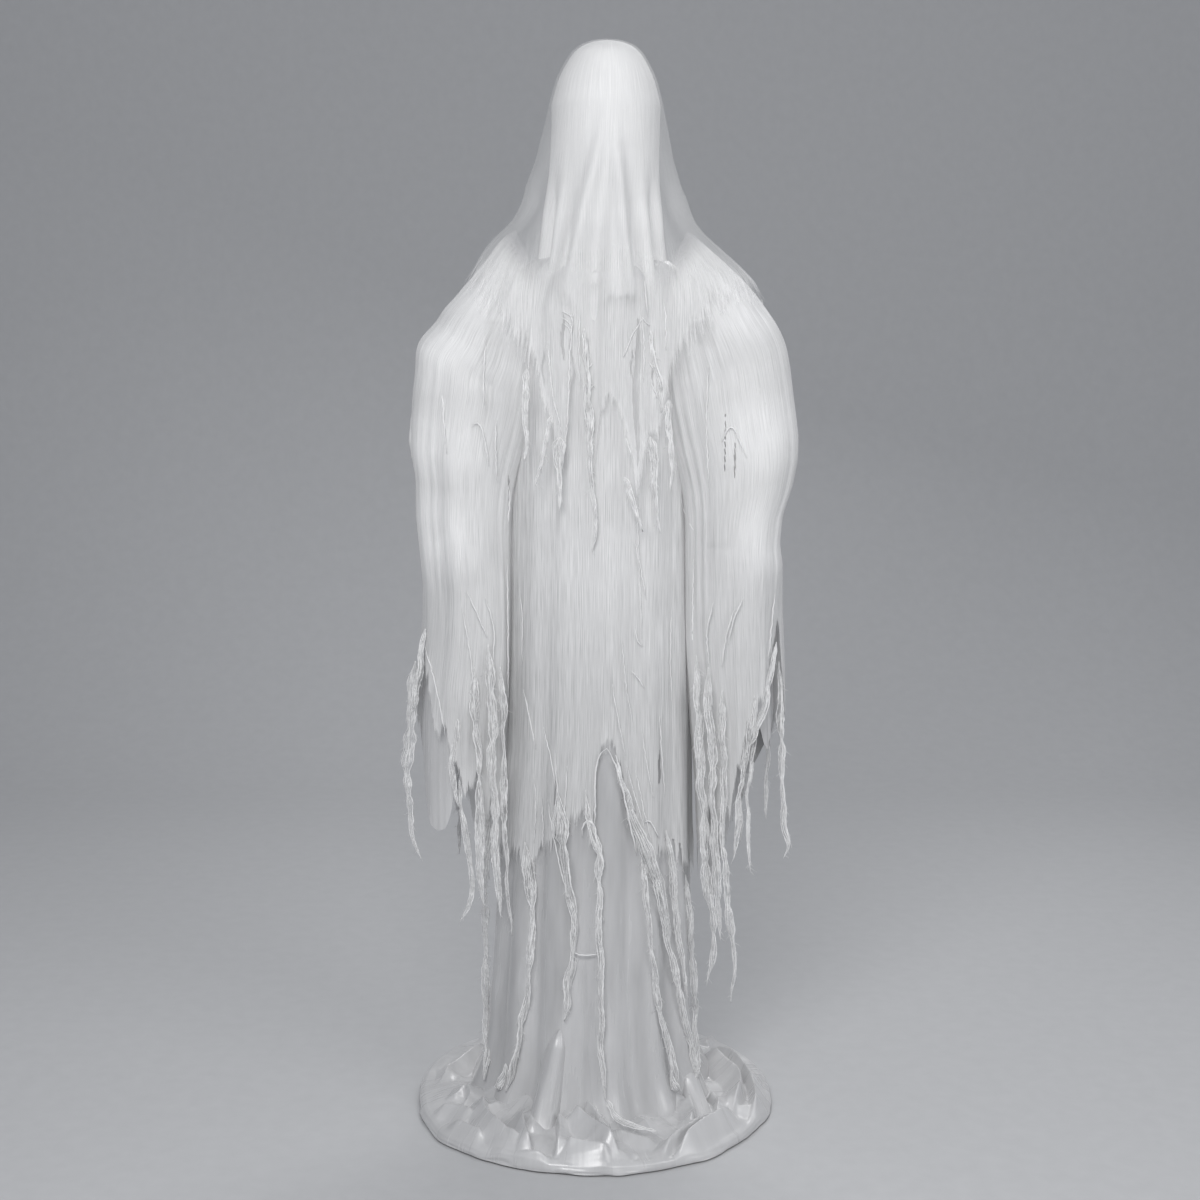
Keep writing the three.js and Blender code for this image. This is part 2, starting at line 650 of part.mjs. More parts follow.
// Each half of the chest rests on the edges of the frame's side plates with two ribs
function chestShell(side) {
  const { shell, filled } = halfShell(CHEST_ROWS, side, CHEST_WALL, 0, false);
  const ribs = [-1, 1].map((way) => {
    const rib = block(FRAME_WALL, FRAME_WIDTH, CHEST_RIB_HEIGHT);
    const y = side * (FRAME_DEPTH / 2 + SEAT_GAP + FRAME_WIDTH / 2);
    rib.translate(way * (FRAME_WIDTH - FRAME_WALL) / 2, y, SHOULDER_Z - CHEST_RIB_HEIGHT / 2);
    return common(rib, filled);
  });
  const shaftHole = disc(ARM_SHAFT_RADIUS + 2, 4 * ARM_SHAFT_HALF, SMALL_SIDES);
  return cut(join(shell, ...ribs), alongX(shaftHole, -2 * ARM_SHAFT_HALF, SHOULDER_Z));
}

// Clothes of the body

const BODY_COLUMNS = 30;
const ARMHOLE_RADIUS = 18;

// Rows of the satin bodice below the chest shell: height, half width, half depth
const BODICE_LOW_ROWS = [[SHOULDER_Z - 280, 142, 104], [WAIST_SPLIT + RUN_GAP, 146, 110]];

function armHole() {
  return alongX(disc(ARMHOLE_RADIUS, 4 * ARM_SHAFT_HALF), -2 * ARM_SHAFT_HALF, SHOULDER_Z);
}

// The collar stands up to the neck edge of the cape, which is sewn to it
function bodiceRows() {
  const ease = 2 * CLOTH_GAP;
  const [neckZ, neckWidth, neckDepth] = CAPE_ROWS[0];
  const inside = 2 * CLOTH_WALL + SEAT_GAP;
  return [
    [neckZ, neckWidth - inside, neckDepth - inside],
    ...CHEST_ROWS.map(([z, width, depth]) => [z, width + ease, depth + ease]), ...BODICE_LOW_ROWS,
  ];
}

function bodice() {
  const ring = (grow) => bodiceRows().map(([z, width, depth]) => (
    angles(BODY_COLUMNS).map((angle) => around(angle, width + grow, depth + grow, z))
  ));
  return cut(skin(ring(CLOTH_WALL), ring(0)), armHole());
}

// Rows of the cape: height above the arm shaft, half width, half depth, fold depth
const CAPE_ROWS = raised([
  [139, 66, 60, 0], [136, 138, 66, 0], [118, 150, 84, 1], [78, 153, 105, 2],
  [40, 154, 114, 3], [-20, 155, 118, 4], [-350, 153, 120, 6],
], SHOULDER_Z);
const CAPE_FOLDS = 6;
const CAPE_TOP_ROWS = 2;
const CAPE_HEM = SHOULDER_Z - 70;
const CAPE_SHREDS = [
  [-60, 151, 14], [-24, 188, 14], [0, 258, 14], [36, 258, 16], [60, 180, 14],
  [96, 200, 22], [144, 230, 22], [-168, 170, 22], [-108, 220, 22],
];

function cape() {
  const list = angles(BODY_COLUMNS);
  const steps = heights(CAPE_ROWS).slice(0, -1);
  const hemOf = (angle) => tornHem(angle, CAPE_HEM, CAPE_SHREDS);
  const point = (angle, z, inset, drop = 0) => {
    const [width, depth, fold] = between(CAPE_ROWS, z);
    const ripple = fold * wave(angle, CAPE_FOLDS, 20);
    return around(angle, width + ripple - inset, depth + ripple - inset, z - drop);
  };
  const ring = (inset) => [
    ...steps.map((z, row) => list.map((angle) => point(angle, z, inset, row < CAPE_TOP_ROWS ? inset : 0))),
    list.map((angle) => point(angle, hemOf(angle), inset)),
  ];
  return cut(skin(ring(0), ring(CLOTH_WALL)), armHole());
}

const SKIRT_COLUMNS = 36;
const SKIRT_FOLDS = 9;

// Rows of the skirt: height, half width, half depth, fold depth
const SKIRT_ROWS = [
  [WAIST_SPLIT, 145, 113, 3], [680, 145, 120, 5], [450, 147, 131, 7],
  [300, 164, 145, 11], [120, 184, 162, 14], [0, 194, 174, 11],
];

function skirtRadius(angle, z, grow) {
  const [width, depth, fold] = between(SKIRT_ROWS, z);
  const ripple = fold * (wave(angle, SKIRT_FOLDS, 40) + 0.5 * wave(angle, 5, 10)) / 1.5;
  return around(angle, width + ripple + grow, depth + ripple + grow, z);
}

function skirt() {
  const floor = BASE_CLOTH_TOP + CLOTH_GAP;
  const steps = heights(SKIRT_ROWS).map((z) => Math.max(z, floor));
  const ring = (grow) => steps.map((z) => (
    angles(SKIRT_COLUMNS).map((angle) => skirtRadius(angle, z, grow))
  ));
  return skin(ring(0), ring(-CLOTH_WALL));
}

const OVERDRESS_TOP = WAIST_SPLIT;
const OVERDRESS_HEM = 450;
const OVERDRESS_SLACK = 4;
const OVERDRESS_MARKS = [
  [-80, 414, 12], [-40, 406, 12], [-20, 390, 9], [-10, -70, 6], [0, 416, 8], [10, -186, 9],
  [20, 416, 12], [50, 150, 12], [70, 410, 12], [90, 290, 10], [120, 390, 14], [150, 330, 14],
  [180, 400, 12], [-150, 360, 14], [-120, 400, 14],
];

function overdress() {
  const list = angles(SKIRT_COLUMNS);
  const level = heights(SKIRT_ROWS)[1];
  const shares = [0, 0.33, 0.66, 1];
  const hem = (angle) => tornHem(angle, OVERDRESS_HEM, OVERDRESS_MARKS);
  const point = (angle, z, grow) => skirtRadius(angle, z, grow + CLOTH_GAP + slack(z));
  const slack = (z) => THREE.MathUtils.clamp((OVERDRESS_TOP - z) / 150, 0, OVERDRESS_SLACK);
  const low = (angle, share) => THREE.MathUtils.lerp(level, hem(angle), share);
  const ring = (grow) => [
    list.map((angle) => point(angle, OVERDRESS_TOP, grow)),
    ...shares.map((share) => list.map((angle) => point(angle, low(angle, share), grow))),
  ];
  return skin(ring(CLOTH_WALL), ring(0));
}

const BASE_CLOTH_COLUMNS = 36;

// The satin over the board: flat under the skirt, in swirling folds round it, and down over the edge.
// Each row has its radius, the height of its folds and the height of its underside.
function baseCloth() {
  const flat = BASE_THICKNESS + SEAT_GAP;
  const edge = BASE_RADIUS + SEAT_GAP + 1.5;
  const foldStart = SKIRT_ROWS.at(-1)[1] + SKIRT_ROWS.at(-1)[3];
  const foldAt = (share) => THREE.MathUtils.lerp(foldStart, edge, share);
  const onBoard = [
    [FLANGE_RADIUS + RUN_GAP, 0, flat], [foldStart, 0, flat], [foldAt(0.3), 15, flat],
    [foldAt(0.65), 18, flat], [edge, 9, flat],
  ];
  const hanging = [
    [edge + BASE_CLOTH_OVERHANG, 0, BASE_THICKNESS / 2], [edge + BASE_CLOTH_OVERHANG, 0, BASE_HEM_LIFT],
  ];
  const rows = [...onBoard, ...hanging];
  const list = angles(BASE_CLOTH_COLUMNS);
  const swirl = (angle, radius) => wave(angle, 6, radius * 0.9) + 0.6 * wave(angle, 4, 60 - radius * 0.5);
  const outer = rows.map(([radius, fold, bottom], row) => list.map((angle) => {
    const loose = THREE.MathUtils.clamp((radius - foldStart) / (edge - foldStart), 0, 1);
    const lean = BASE_CLOTH_SHIFT * Math.sin(THREE.MathUtils.degToRad(angle));
    const reach = radius + loose * (lean + 2 * wave(angle, 5, 30));
    const lift = fold * (1.6 + swirl(angle, radius)) / 3.2;
    const z = row < onBoard.length ? bottom + CLOTH_WALL + lift : bottom;
    return around(angle, reach, reach, z);
  }));
  const inner = rows.map(([radius, , bottom]) => list.map((angle) => {
    const reach = Math.min(radius, edge);
    return around(angle, reach, reach, bottom);
  }));
  const boxHole = block(BOX_WIDTH + 2, BOX_DEPTH + JACK_DEPTH + 2, 3 * BOX_HEIGHT);
  boxHole.translate(0, BOX_Y + JACK_DEPTH / 2, BASE_THICKNESS / 2);
  return cut(skin(outer, inner), boxHole);
}

// Head

// Rows of the head shell: height, half width, half depth
const HEAD_ROWS = [
  ...raised([
    [-CLOTH_WALL - SEAT_GAP, 0, 0], [-9, 24, 27], [-26, 48, 53], [-54, 69, 76], [-98, 85, 92], [-150, 84, 94],
  ], HEIGHT),
  [HEAD_BOTTOM + 65, 72, 82], [HEAD_BOTTOM, HEAD_NECK_HALF, 62],
];

// Each half of the head rests on the neck flange with its floor
function headShell(side) {
  const { shell, filled } = halfShell(HEAD_ROWS, side, HEAD_WALL, HEAD_SHIFT, true);
  const seat = HEAD_FLANGE_BOTTOM + HEAD_FLANGE_THICKNESS + SEAT_GAP;
  const floor = common(block(HEIGHT, HEIGHT, HEAD_WALL).translate(0, 0, seat), filled);
  const hole = disc(NECK_RADIUS + HEAD_WALL, 3 * HEAD_WALL).translate(0, 0, seat - HEAD_WALL);
  return cut(join(shell, floor), hole);
}

function neckShaft() {
  const inner = NECK_RADIUS - NECK_WALL;
  const flangeBottom = HEAD_FLANGE_BOTTOM;
  const flangeTop = flangeBottom + HEAD_FLANGE_THICKNESS;
  const flange = HEAD_NECK_HALF - HEAD_WALL - HEAD_SHIFT - 2 * SEAT_GAP;
  return turned([
    [inner, NECK_BOTTOM], [NECK_RADIUS, NECK_BOTTOM], [NECK_RADIUS, flangeBottom], [flange, flangeBottom],
    [flange, flangeTop], [NECK_RADIUS, flangeTop], [NECK_RADIUS, NECK_TOP], [inner, NECK_TOP],
    [inner, NECK_BOTTOM],
  ]);
}

function headGear() {
  const bore = NECK_RADIUS + SEAT_GAP;
  const wheel = gear({
    teeth: HEAD_TEETH, toothed: SECTOR_TEETH, tooth: Math.PI / 2, bore, hub: bore + 2 * SOCKET_WALL,
  });
  return wheel.translate(0, 0, HEAD_GEAR_BOTTOM);
}

function headLight() {
  const bottom = NECK_TOP + SEAT_GAP;
  return turned([
    [0, bottom], [HEAD_LIGHT_RADIUS, bottom], [HEAD_LIGHT_RADIUS, bottom + HEAD_LIGHT_HEIGHT / 2],
    [HEAD_LIGHT_RADIUS * 0.7, bottom + HEAD_LIGHT_HEIGHT], [0, bottom + HEAD_LIGHT_HEIGHT],
  ]);
}

const VEIL_COLUMNS = 28;
const VEIL_FOLDS = 7;

// Rows of the veil: height, half width, half depth, fold depth
const VEIL_ROWS = [
  ...raised([
    [0, 0, 0, 0], [-5, 28, 31, 0], [-22, 53, 58, 0], [-50, 75, 81, 1], [-95, 91, 97, 3],
    [-170, 107, 109, 7],
  ], HEIGHT),
  [VEIL_RIM + 69, 131, 118, 12], [VEIL_RIM, 164, 121, 15],
];

function veil() {
  const rim = VEIL_ROWS.at(-1)[0];
  const list = angles(VEIL_COLUMNS);
  const ring = (inset) => VEIL_ROWS.map(([z, width, depth, fold], row) => list.map((angle) => {
    const shift = HEAD_SHIFT * (z - rim) / (HEIGHT - rim);
    const ripple = fold * wave(angle, VEIL_FOLDS, 180) / 2;
    const drop = row === 0 ? inset : 0;
    const reach = (half) => Math.max(0, half + ripple - inset);
    return around(angle, reach(width), reach(depth), z - drop, shift);
  }));
  return skin(ring(0), ring(CLOTH_WALL));
}

// Arms: side is -1 for the arm on the -X side, which is the left one seen from the front

function armShaft() {
  return alongX(disc(ARM_SHAFT_RADIUS, 2 * ARM_SHAFT_HALF), -ARM_SHAFT_HALF, SHOULDER_Z);
}

function armGear() {
  const bore = ARM_SHAFT_RADIUS + SEAT_GAP;
  const wheel = gear({
    teeth: ARM_TEETH, toothed: SECTOR_TEETH, tooth: 0, bore, hub: bore + 2 * SOCKET_WALL,
  });
  return alongX(wheel, ARM_GEAR_X, SHOULDER_Z);
}

const ARM_TOP_Z = SHOULDER_Z - ARM_TOP_DROP;
const ARM_LENGTH = Math.hypot(WRIST_X - ARM_TOP_X, ARM_TOP_Z - WRIST_Z);
const ARM_LEAN = Math.atan2(WRIST_X - ARM_TOP_X, ARM_TOP_Z - WRIST_Z);

function armLineX(z) {
  return THREE.MathUtils.mapLinear(z, ARM_TOP_Z, WRIST_Z, ARM_TOP_X, WRIST_X);
}

// Puts a piece that hangs down from zero on the line of the arm
function onArm(geometry, side) {
  return geometry.rotateY(-side * ARM_LEAN).translate(side * ARM_TOP_X, 0, ARM_TOP_Z);
}

function shoulderHub(side) {
  const width = HUB_OUTER - HUB_INNER;
  const body = block(width, HUB_DEPTH, HUB_DROP + HUB_RISE);
  body.translate(side * (HUB_INNER + width / 2), 0, SHOULDER_Z - HUB_DROP);
  const bore = disc(ARM_SHAFT_RADIUS + SEAT_GAP, 4 * ARM_SHAFT_HALF);
  const socket = disc(ARM_TUBE_RADIUS + SEAT_GAP, ARM_LENGTH + SEAT_GAP).translate(0, 0, -ARM_LENGTH);
  return cut(body, alongX(bore, -2 * ARM_SHAFT_HALF, SHOULDER_Z), onArm(socket, side));
}

function armTube(side) {
  const inner = ARM_TUBE_RADIUS - ARM_TUBE_WALL;
  const tube = pipe(ARM_TUBE_RADIUS, inner, ARM_LENGTH - 4 * SEAT_GAP, SMALL_SIDES);
  return onArm(tube.translate(0, 0, -ARM_LENGTH), side);
}

function armLight(side) {
  const light = turned([
    [0, 0], [ARM_LIGHT_RADIUS, 0], [ARM_LIGHT_RADIUS, -ARM_LIGHT_HEIGHT / 2],
    [ARM_LIGHT_RADIUS * 0.6, -ARM_LIGHT_HEIGHT], [0, -ARM_LIGHT_HEIGHT],
  ], SMALL_SIDES);
  return onArm(light.translate(0, 0, -ARM_LENGTH - SEAT_GAP), side);
}

// Rings of a sleeve from the neck side to the elbow, with heights above the arm shaft:
// height at the body side, reach and height at the outer side, half depth. The last ones lie level.
const SLEEVE_RINGS = [
  [-75, SLEEVE_NECK_X, 139, 70], [-80, 205, 123, 74], [-85, 246, 90, 78], [-91, 282, 40, 80],
  [-100, 306, -15, 80], [-114, 318, -75, 79], [-184, 332, -184, 78], [-285, 315, -285, 74],
  [-430, 308, -430, 68],
].map(([innerZ, reach, outerZ, depth]) => [SHOULDER_Z + innerZ, reach, SHOULDER_Z + outerZ, depth]);
const SLEEVE_SLANTED = 4;
const SLEEVE_COLUMNS = 24;
const SLEEVE_FOLDS = 6;
const SLEEVE_FOLD_DEPTH = 3;
const SLEEVE_HEM = SHOULDER_Z - 720;

// Rows of the hanging end: share of the way from the last ring to the hem, reach, half depth
const SLEEVE_LOW_ROWS = [[0.5, 318, 66], [1, 324, 68]];

// Shreds of the sleeves: 0 is the outer side, 90 the front, 180 the body side
const SLEEVE_SHREDS = {
  [-1]: [[0, 203, 16], [60, 140, 22], [105, 240, 16], [150, 170, 18], [-60, 120, 22], [-120, 160, 22]],
  [1]: [[0, 178, 16], [45, 40, 16], [75, 215, 16], [120, 310, 16], [165, 170, 16], [-60, 140, 22],
    [-120, 170, 22]],
};

function sleeveRing([innerZ, reach, outerZ, depth], side, inset, fold = 0) {
  const start = new THREE.Vector2(Math.min(SLEEVE_INNER_X, reach), innerZ);
  const end = new THREE.Vector2(reach, outerZ);
  const middle = start.clone().add(end).multiplyScalar(0.5);
  const along = end.clone().sub(start);
  const half = along.length() / 2;
  along.normalize();
  return angles(SLEEVE_COLUMNS, 0).map((angle) => {
    const turn = THREE.MathUtils.degToRad(angle);
    const away = Math.max(0, Math.cos(turn));
    const ripple = fold * (wave(angle, SLEEVE_FOLDS, 0) - 1) * (0.4 + 0.6 * away);
    const spread = (half - inset + ripple) * Math.cos(turn);
    const x = middle.x + along.x * spread;
    const z = middle.y + along.y * spread;
    return [side * x, -(depth - inset + ripple) * Math.sin(turn), z];
  });
}

function sleeve(side) {
  const hem = (angle) => tornHem(angle, SLEEVE_HEM, SLEEVE_SHREDS[side]);
  const top = SLEEVE_RINGS.at(-1)[0];
  const low = ([share, reach, depth], inset) => {
    const level = sleeveRing([0, reach, 0, depth], side, inset, SLEEVE_FOLD_DEPTH);
    const height = (i) => THREE.MathUtils.lerp(top, hem(360 * i / SLEEVE_COLUMNS), share);
    return level.map(([x, y], i) => [x, y, height(i)]);
  };
  const foldOf = (i) => (i < SLEEVE_SLANTED ? 0 : SLEEVE_FOLD_DEPTH);
  const ring = (inset) => [
    ...SLEEVE_RINGS.map((row, i) => sleeveRing(row, side, inset, foldOf(i))),
    ...SLEEVE_LOW_ROWS.map((row) => low(row, inset)),
  ];
  return skin(ring(0), ring(CLOTH_WALL));
}

const PADDING_COLUMNS = 16;
const PADDING_EASE = 6;

// Rings of the stuffed arm: height at the body side, reach and height at the outer side, half depth.
// All but the last lie in the planes of sleeve rings.
const PADDING_DEPTHS = [30, 36, 38, 32];
const PADDING_RINGS = [
  ...PADDING_DEPTHS.map((depth, i) => [...SLEEVE_RINGS[SLEEVE_SLANTED + i].slice(0, 3), depth]),
  [WRIST_Z + PADDING_EASE, 300, WRIST_Z + PADDING_EASE, 24],
];

function armPadding(side) {
  const bore = ARM_TUBE_RADIUS + 2 * SEAT_GAP;
  const outer = [];
  const inner = [];
  for (const [innerZ, reach, outerZ, deep] of PADDING_RINGS) {
    const along = new THREE.Vector2(reach - SLEEVE_INNER_X, outerZ - innerZ).normalize();
    const end = new THREE.Vector2(reach, outerZ).addScaledVector(along, -CLOTH_WALL - SEAT_GAP);
    const slope = along.y / along.x;
    const fall = Math.tan(ARM_LEAN);
    // Where the line of the arm crosses the plane of this ring
    const z = (end.y + slope * (ARM_TOP_X + fall * ARM_TOP_Z - end.x)) / (1 + slope * fall);
    const boreMiddle = new THREE.Vector2(armLineX(z), z);
    const stretch = bore / Math.cos(Math.atan(slope) + ARM_LEAN);
    const start = boreMiddle.clone().addScaledVector(along, -stretch - PADDING_EASE);
    const middle = start.clone().add(end).multiplyScalar(0.5);
    const ring = (centre, halfAcross, halfDeep) => angles(PADDING_COLUMNS, 0).map((angle) => {
      const turn = THREE.MathUtils.degToRad(angle);
      const point = centre.clone().addScaledVector(along, halfAcross * Math.cos(turn));
      return [side * point.x, -halfDeep * Math.sin(turn), point.y];
    });
    outer.push(ring(middle, start.distanceTo(end) / 2, deep));
    inner.push(ring(boreMiddle, stretch, bore));
  }
  return skin(outer, inner);
}

// Control box

function controlHousing() {
  const outer = block(BOX_WIDTH, BOX_DEPTH, BOX_HEIGHT).translate(0, BOX_Y, BOX_BOTTOM);
  const hollow = block(BOX_WIDTH - 2 * BOX_WALL, BOX_DEPTH - 2 * BOX_WALL, BOX_HEIGHT - BOX_WALL + 1);
  hollow.translate(0, BOX_Y, BOX_BOTTOM - 1);
  const throughTop = (tool, x) => tool.translate(x, BOX_Y, BOX_TOP - 2 * BOX_WALL);
  const drill = (radius, x) => throughTop(disc(radius, 4 * BOX_WALL, SMALL_SIDES), x);
  const slotWidth = SWITCH_STEM + 2 * SEAT_GAP;
  const slot = throughTop(block(slotWidth, slotWidth + SWITCH_TRAVEL, 4 * BOX_WALL), SWITCH_X);
  const slits = Array.from({ length: GRILLE_SLITS }, (_, i) => {
    const x = SPEAKER_X + (i - (GRILLE_SLITS - 1) / 2) * GRILLE_PITCH;
    return throughTop(block(GRILLE_SLIT_WIDTH, 1.5 * SPEAKER_RADIUS, 4 * BOX_WALL), x);
  });
  return cut(
    outer, hollow, drill(KNOB_SHAFT_RADIUS + SEAT_GAP, KNOB_X), drill(BUTTON_RADIUS + SEAT_GAP, BUTTON_X),
    slot, ...slits,
  );
}

function boxFloor() {
  const gap = BOX_WALL + SEAT_GAP;
  return block(BOX_WIDTH - 2 * gap, BOX_DEPTH - 2 * gap, BOX_FLOOR).translate(0, BOX_Y, BOX_BOTTOM);
}

function boardTop() {
  return BOX_BOTTOM + BOX_FLOOR + SEAT_GAP + BOARD_THICKNESS;
}

function circuitBoard() {
  const gap = BOX_WALL + BOARD_MARGIN;
  const board = block(BOX_WIDTH - 2 * gap, BOX_DEPTH - 2 * gap, BOARD_THICKNESS);
  return board.translate(0, BOX_Y, boardTop() - BOARD_THICKNESS);
}

function speaker() {
  const top = BOX_TOP - BOX_WALL - SEAT_GAP;
  return turned([
    [0, top - SPEAKER_HEIGHT], [SPEAKER_RADIUS / 2, top - SPEAKER_HEIGHT],
    [SPEAKER_RADIUS / 2, top - SPEAKER_HEIGHT / 2], [SPEAKER_RADIUS, top - SPEAKER_HEIGHT / 4],
    [SPEAKER_RADIUS, top], [0, top],
  ]).translate(SPEAKER_X, BOX_Y, 0);
}

function powerInlet() {
  const front = BOX_BACK + SEAT_GAP;
  const body = block(JACK_WIDTH, JACK_DEPTH, JACK_HEIGHT);
  body.translate(0, front + JACK_DEPTH / 2, JACK_BORE_Z - JACK_HEIGHT / 2);
  const bore = disc(JACK_BORE_RADIUS, JACK_BORE_DEPTH + 1, SMALL_SIDES).rotateX(-Math.PI / 2);
  return cut(body, bore.translate(0, front + JACK_DEPTH - JACK_BORE_DEPTH, JACK_BORE_Z));
}

function modeSwitch() {
  const under = BOX_TOP - BOX_WALL - SEAT_GAP;
  const stem = block(SWITCH_STEM, SWITCH_STEM, BOX_WALL + 2);
  const cap = block(SWITCH_STEM + 2, SWITCH_CAP, SWITCH_STEM);
  const foot = block(2 * SWITCH_STEM, SWITCH_CAP, 2);
  return join(
    stem.translate(0, 0, under - 1), cap.translate(0, 0, BOX_TOP + SEAT_GAP), foot.translate(0, 0, under - 2),
  ).translate(SWITCH_X, BOX_Y - SWITCH_TRAVEL / 2, 0);
}

function testButton() {
  const under = BOX_TOP - BOX_WALL - SEAT_GAP;
  return turned([
    [0, under - 2], [BUTTON_RADIUS + 2, under - 2], [BUTTON_RADIUS + 2, under], [BUTTON_RADIUS, under],
    [BUTTON_RADIUS, BOX_TOP + BUTTON_PROUD - BUTTON_CHAMFER],
    [BUTTON_RADIUS - BUTTON_CHAMFER, BOX_TOP + BUTTON_PROUD], [0, BOX_TOP + BUTTON_PROUD],
  ], SMALL_SIDES).translate(BUTTON_X, BOX_Y, 0);
}

function volumeKnob() {
  const seat = BOX_TOP + SEAT_GAP;
  const end = boardTop() + SEAT_GAP;
  const knob = turned([
    [0, end], [KNOB_SHAFT_RADIUS, end], [KNOB_SHAFT_RADIUS, seat], [KNOB_RADIUS, seat],
    [KNOB_RADIUS - 1, seat + KNOB_HEIGHT], [0, seat + KNOB_HEIGHT],
  ], SMALL_SIDES);
  const mark = block(1.6, KNOB_RADIUS, 2).translate(0, KNOB_RADIUS / 2 - 0.5, seat + KNOB_HEIGHT - 1);
  return cut(knob, mark).translate(KNOB_X, BOX_Y, 0);
}

// Assembly

const figure = new THREE.Group();
figure.name = 'animated_ghost_figure';

function add(name, geometry, look) {
  const mesh = new THREE.Mesh(geometry, new THREE.MeshStandardMaterial(MATERIALS[look]));
  mesh.name = name;
  figure.add(mesh);
  return mesh;
}

add('base_board', basePlate(), 'board');
add('pole_socket', poleSocket(), 'blackSteel');
screwPlaces().forEach(([x, y], i) => {
  add(`flange_screw_${i + 1}`, flangeScrew(), 'steel').position.set(x, y, 0);
});
add('lower_pole', lowerPole(), 'blackSteel');
add('upper_pole', upperPole(), 'blackSteel');
add('pole_coupling', poleCoupling(), 'blackPlastic');
add('coupling_screw', couplingScrew(), 'steel');
add('waist_plate', waistPlate(), 'blackSteel');
add('waist_washer', waistWasher(), 'gearPlastic');
add('waist_gear_motor', waistGearMotor(), 'blackPlastic');
add('waist_pinion', waistPinion(), 'gearPlastic');
add('skirt', skirt(), 'satin');
add('overdress', overdress(), 'gauze');
add('base_cloth', baseCloth(), 'satin');

add('control_housing', controlHousing(), 'blackPlastic');
add('control_floor', boxFloor(), 'blackPlastic');
add('circuit_board', circuitBoard(), 'circuit');
add('speaker', speaker(), 'blackPlastic');
add('power_inlet', powerInlet(), 'blackPlastic');
add('mode_switch', modeSwitch(), 'steel');
add('test_button', testButton(), 'shell');
add('volume_knob', volumeKnob(), 'blackPlastic');

add('waist_hub', waistHub(), 'steel');
add('waist_gear', waistGear(), 'gearPlastic');
add('spine_tube', spineTube(), 'steel');
add('torso_frame', torsoFrame(), 'blackSteel');
add('neck_bushing', neckBushing(), 'gearPlastic');
add('head_gear_motor', headGearMotor(), 'blackPlastic');
add('head_pinion', headPinion(), 'gearPlastic');
add('arm_gear_motor', armGearMotor(), 'blackPlastic');
add('arm_pinion', armPinion(), 'gearPlastic');
add('chest_shell_front', chestShell(-1), 'shell');
add('chest_shell_back', chestShell(1), 'shell');
add('bodice', bodice(), 'satin');
add('cape', cape(), 'gauze');

add('neck_shaft', neckShaft(), 'steel');
add('head_gear', headGear(), 'gearPlastic');
add('head_shell_front', headShell(-1), 'shell');
add('head_shell_back', headShell(1), 'shell');
add('head_light', headLight(), 'lens');
add('veil', veil(), 'gauze');

add('arm_shaft', armShaft(), 'steel');
add('arm_gear', armGear(), 'gearPlastic');
for (const [side, word] of [[-1, 'left'], [1, 'right']]) {
  add(`${word}_shoulder_hub`, shoulderHub(side), 'blackPlastic');
  add(`${word}_arm_tube`, armTube(side), 'steel');
  add(`${word}_arm_padding`, armPadding(side), 'padding');
  add(`${word}_arm_light`, armLight(side), 'lens');
  add(`${word}_sleeve`, sleeve(side), 'gauze');
}

export default figure;
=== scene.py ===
import json
import math

import bpy
import numpy as np
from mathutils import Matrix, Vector


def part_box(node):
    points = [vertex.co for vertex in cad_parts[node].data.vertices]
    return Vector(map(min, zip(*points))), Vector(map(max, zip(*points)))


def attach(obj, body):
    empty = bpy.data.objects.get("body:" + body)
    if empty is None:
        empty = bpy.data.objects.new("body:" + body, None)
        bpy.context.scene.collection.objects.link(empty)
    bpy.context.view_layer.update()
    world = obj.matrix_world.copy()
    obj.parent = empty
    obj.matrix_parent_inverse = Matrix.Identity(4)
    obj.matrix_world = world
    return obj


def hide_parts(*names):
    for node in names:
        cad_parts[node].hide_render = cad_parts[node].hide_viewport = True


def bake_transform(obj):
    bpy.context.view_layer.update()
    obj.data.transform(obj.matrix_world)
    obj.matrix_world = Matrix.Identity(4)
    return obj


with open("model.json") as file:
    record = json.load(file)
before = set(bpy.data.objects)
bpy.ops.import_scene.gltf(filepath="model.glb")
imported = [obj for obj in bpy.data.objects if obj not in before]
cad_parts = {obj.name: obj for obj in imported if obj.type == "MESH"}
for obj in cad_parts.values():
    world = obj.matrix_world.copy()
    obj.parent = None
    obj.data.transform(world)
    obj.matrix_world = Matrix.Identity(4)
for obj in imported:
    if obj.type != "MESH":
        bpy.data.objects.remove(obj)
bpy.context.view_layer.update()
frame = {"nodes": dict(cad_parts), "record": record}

# Places are in the photo's frame, in metres: +X is to the right seen from the front, -Y is the front.
# The tables of text hold lengths in millimetres. A comma joins what belongs together, such as the parts of a place;
# where rows differ in length, a semicolon ends a row and a bar parts its groups.
MM = 1000


# Numbers

def numbers(text, columns=1):
    return np.array(text.replace(",", " ").split(), float).reshape(-1, columns)


def rows_of(text):
    """The rows of a table, each a list of groups of numbers."""
    return [[numbers(group).ravel() for group in row.split("|")] for row in text.split(";")]


def marks(group):
    """Pairs of places in metres."""
    return group.reshape(-1, 2) / MM


def hem_table(text):
    """Pairs of an angle and the hem's height there."""
    return numbers(text, 2) / (1, MM)


def blur(values, cells):
    reach = max(1, int(3 * cells))
    kernel = np.exp(-0.5 * (np.arange(-reach, reach + 1) / cells) ** 2)
    kernel /= kernel.sum()
    padded = np.concatenate([np.full(reach, values[0]), values, np.full(reach, values[-1])])
    return np.convolve(padded, kernel, "valid")


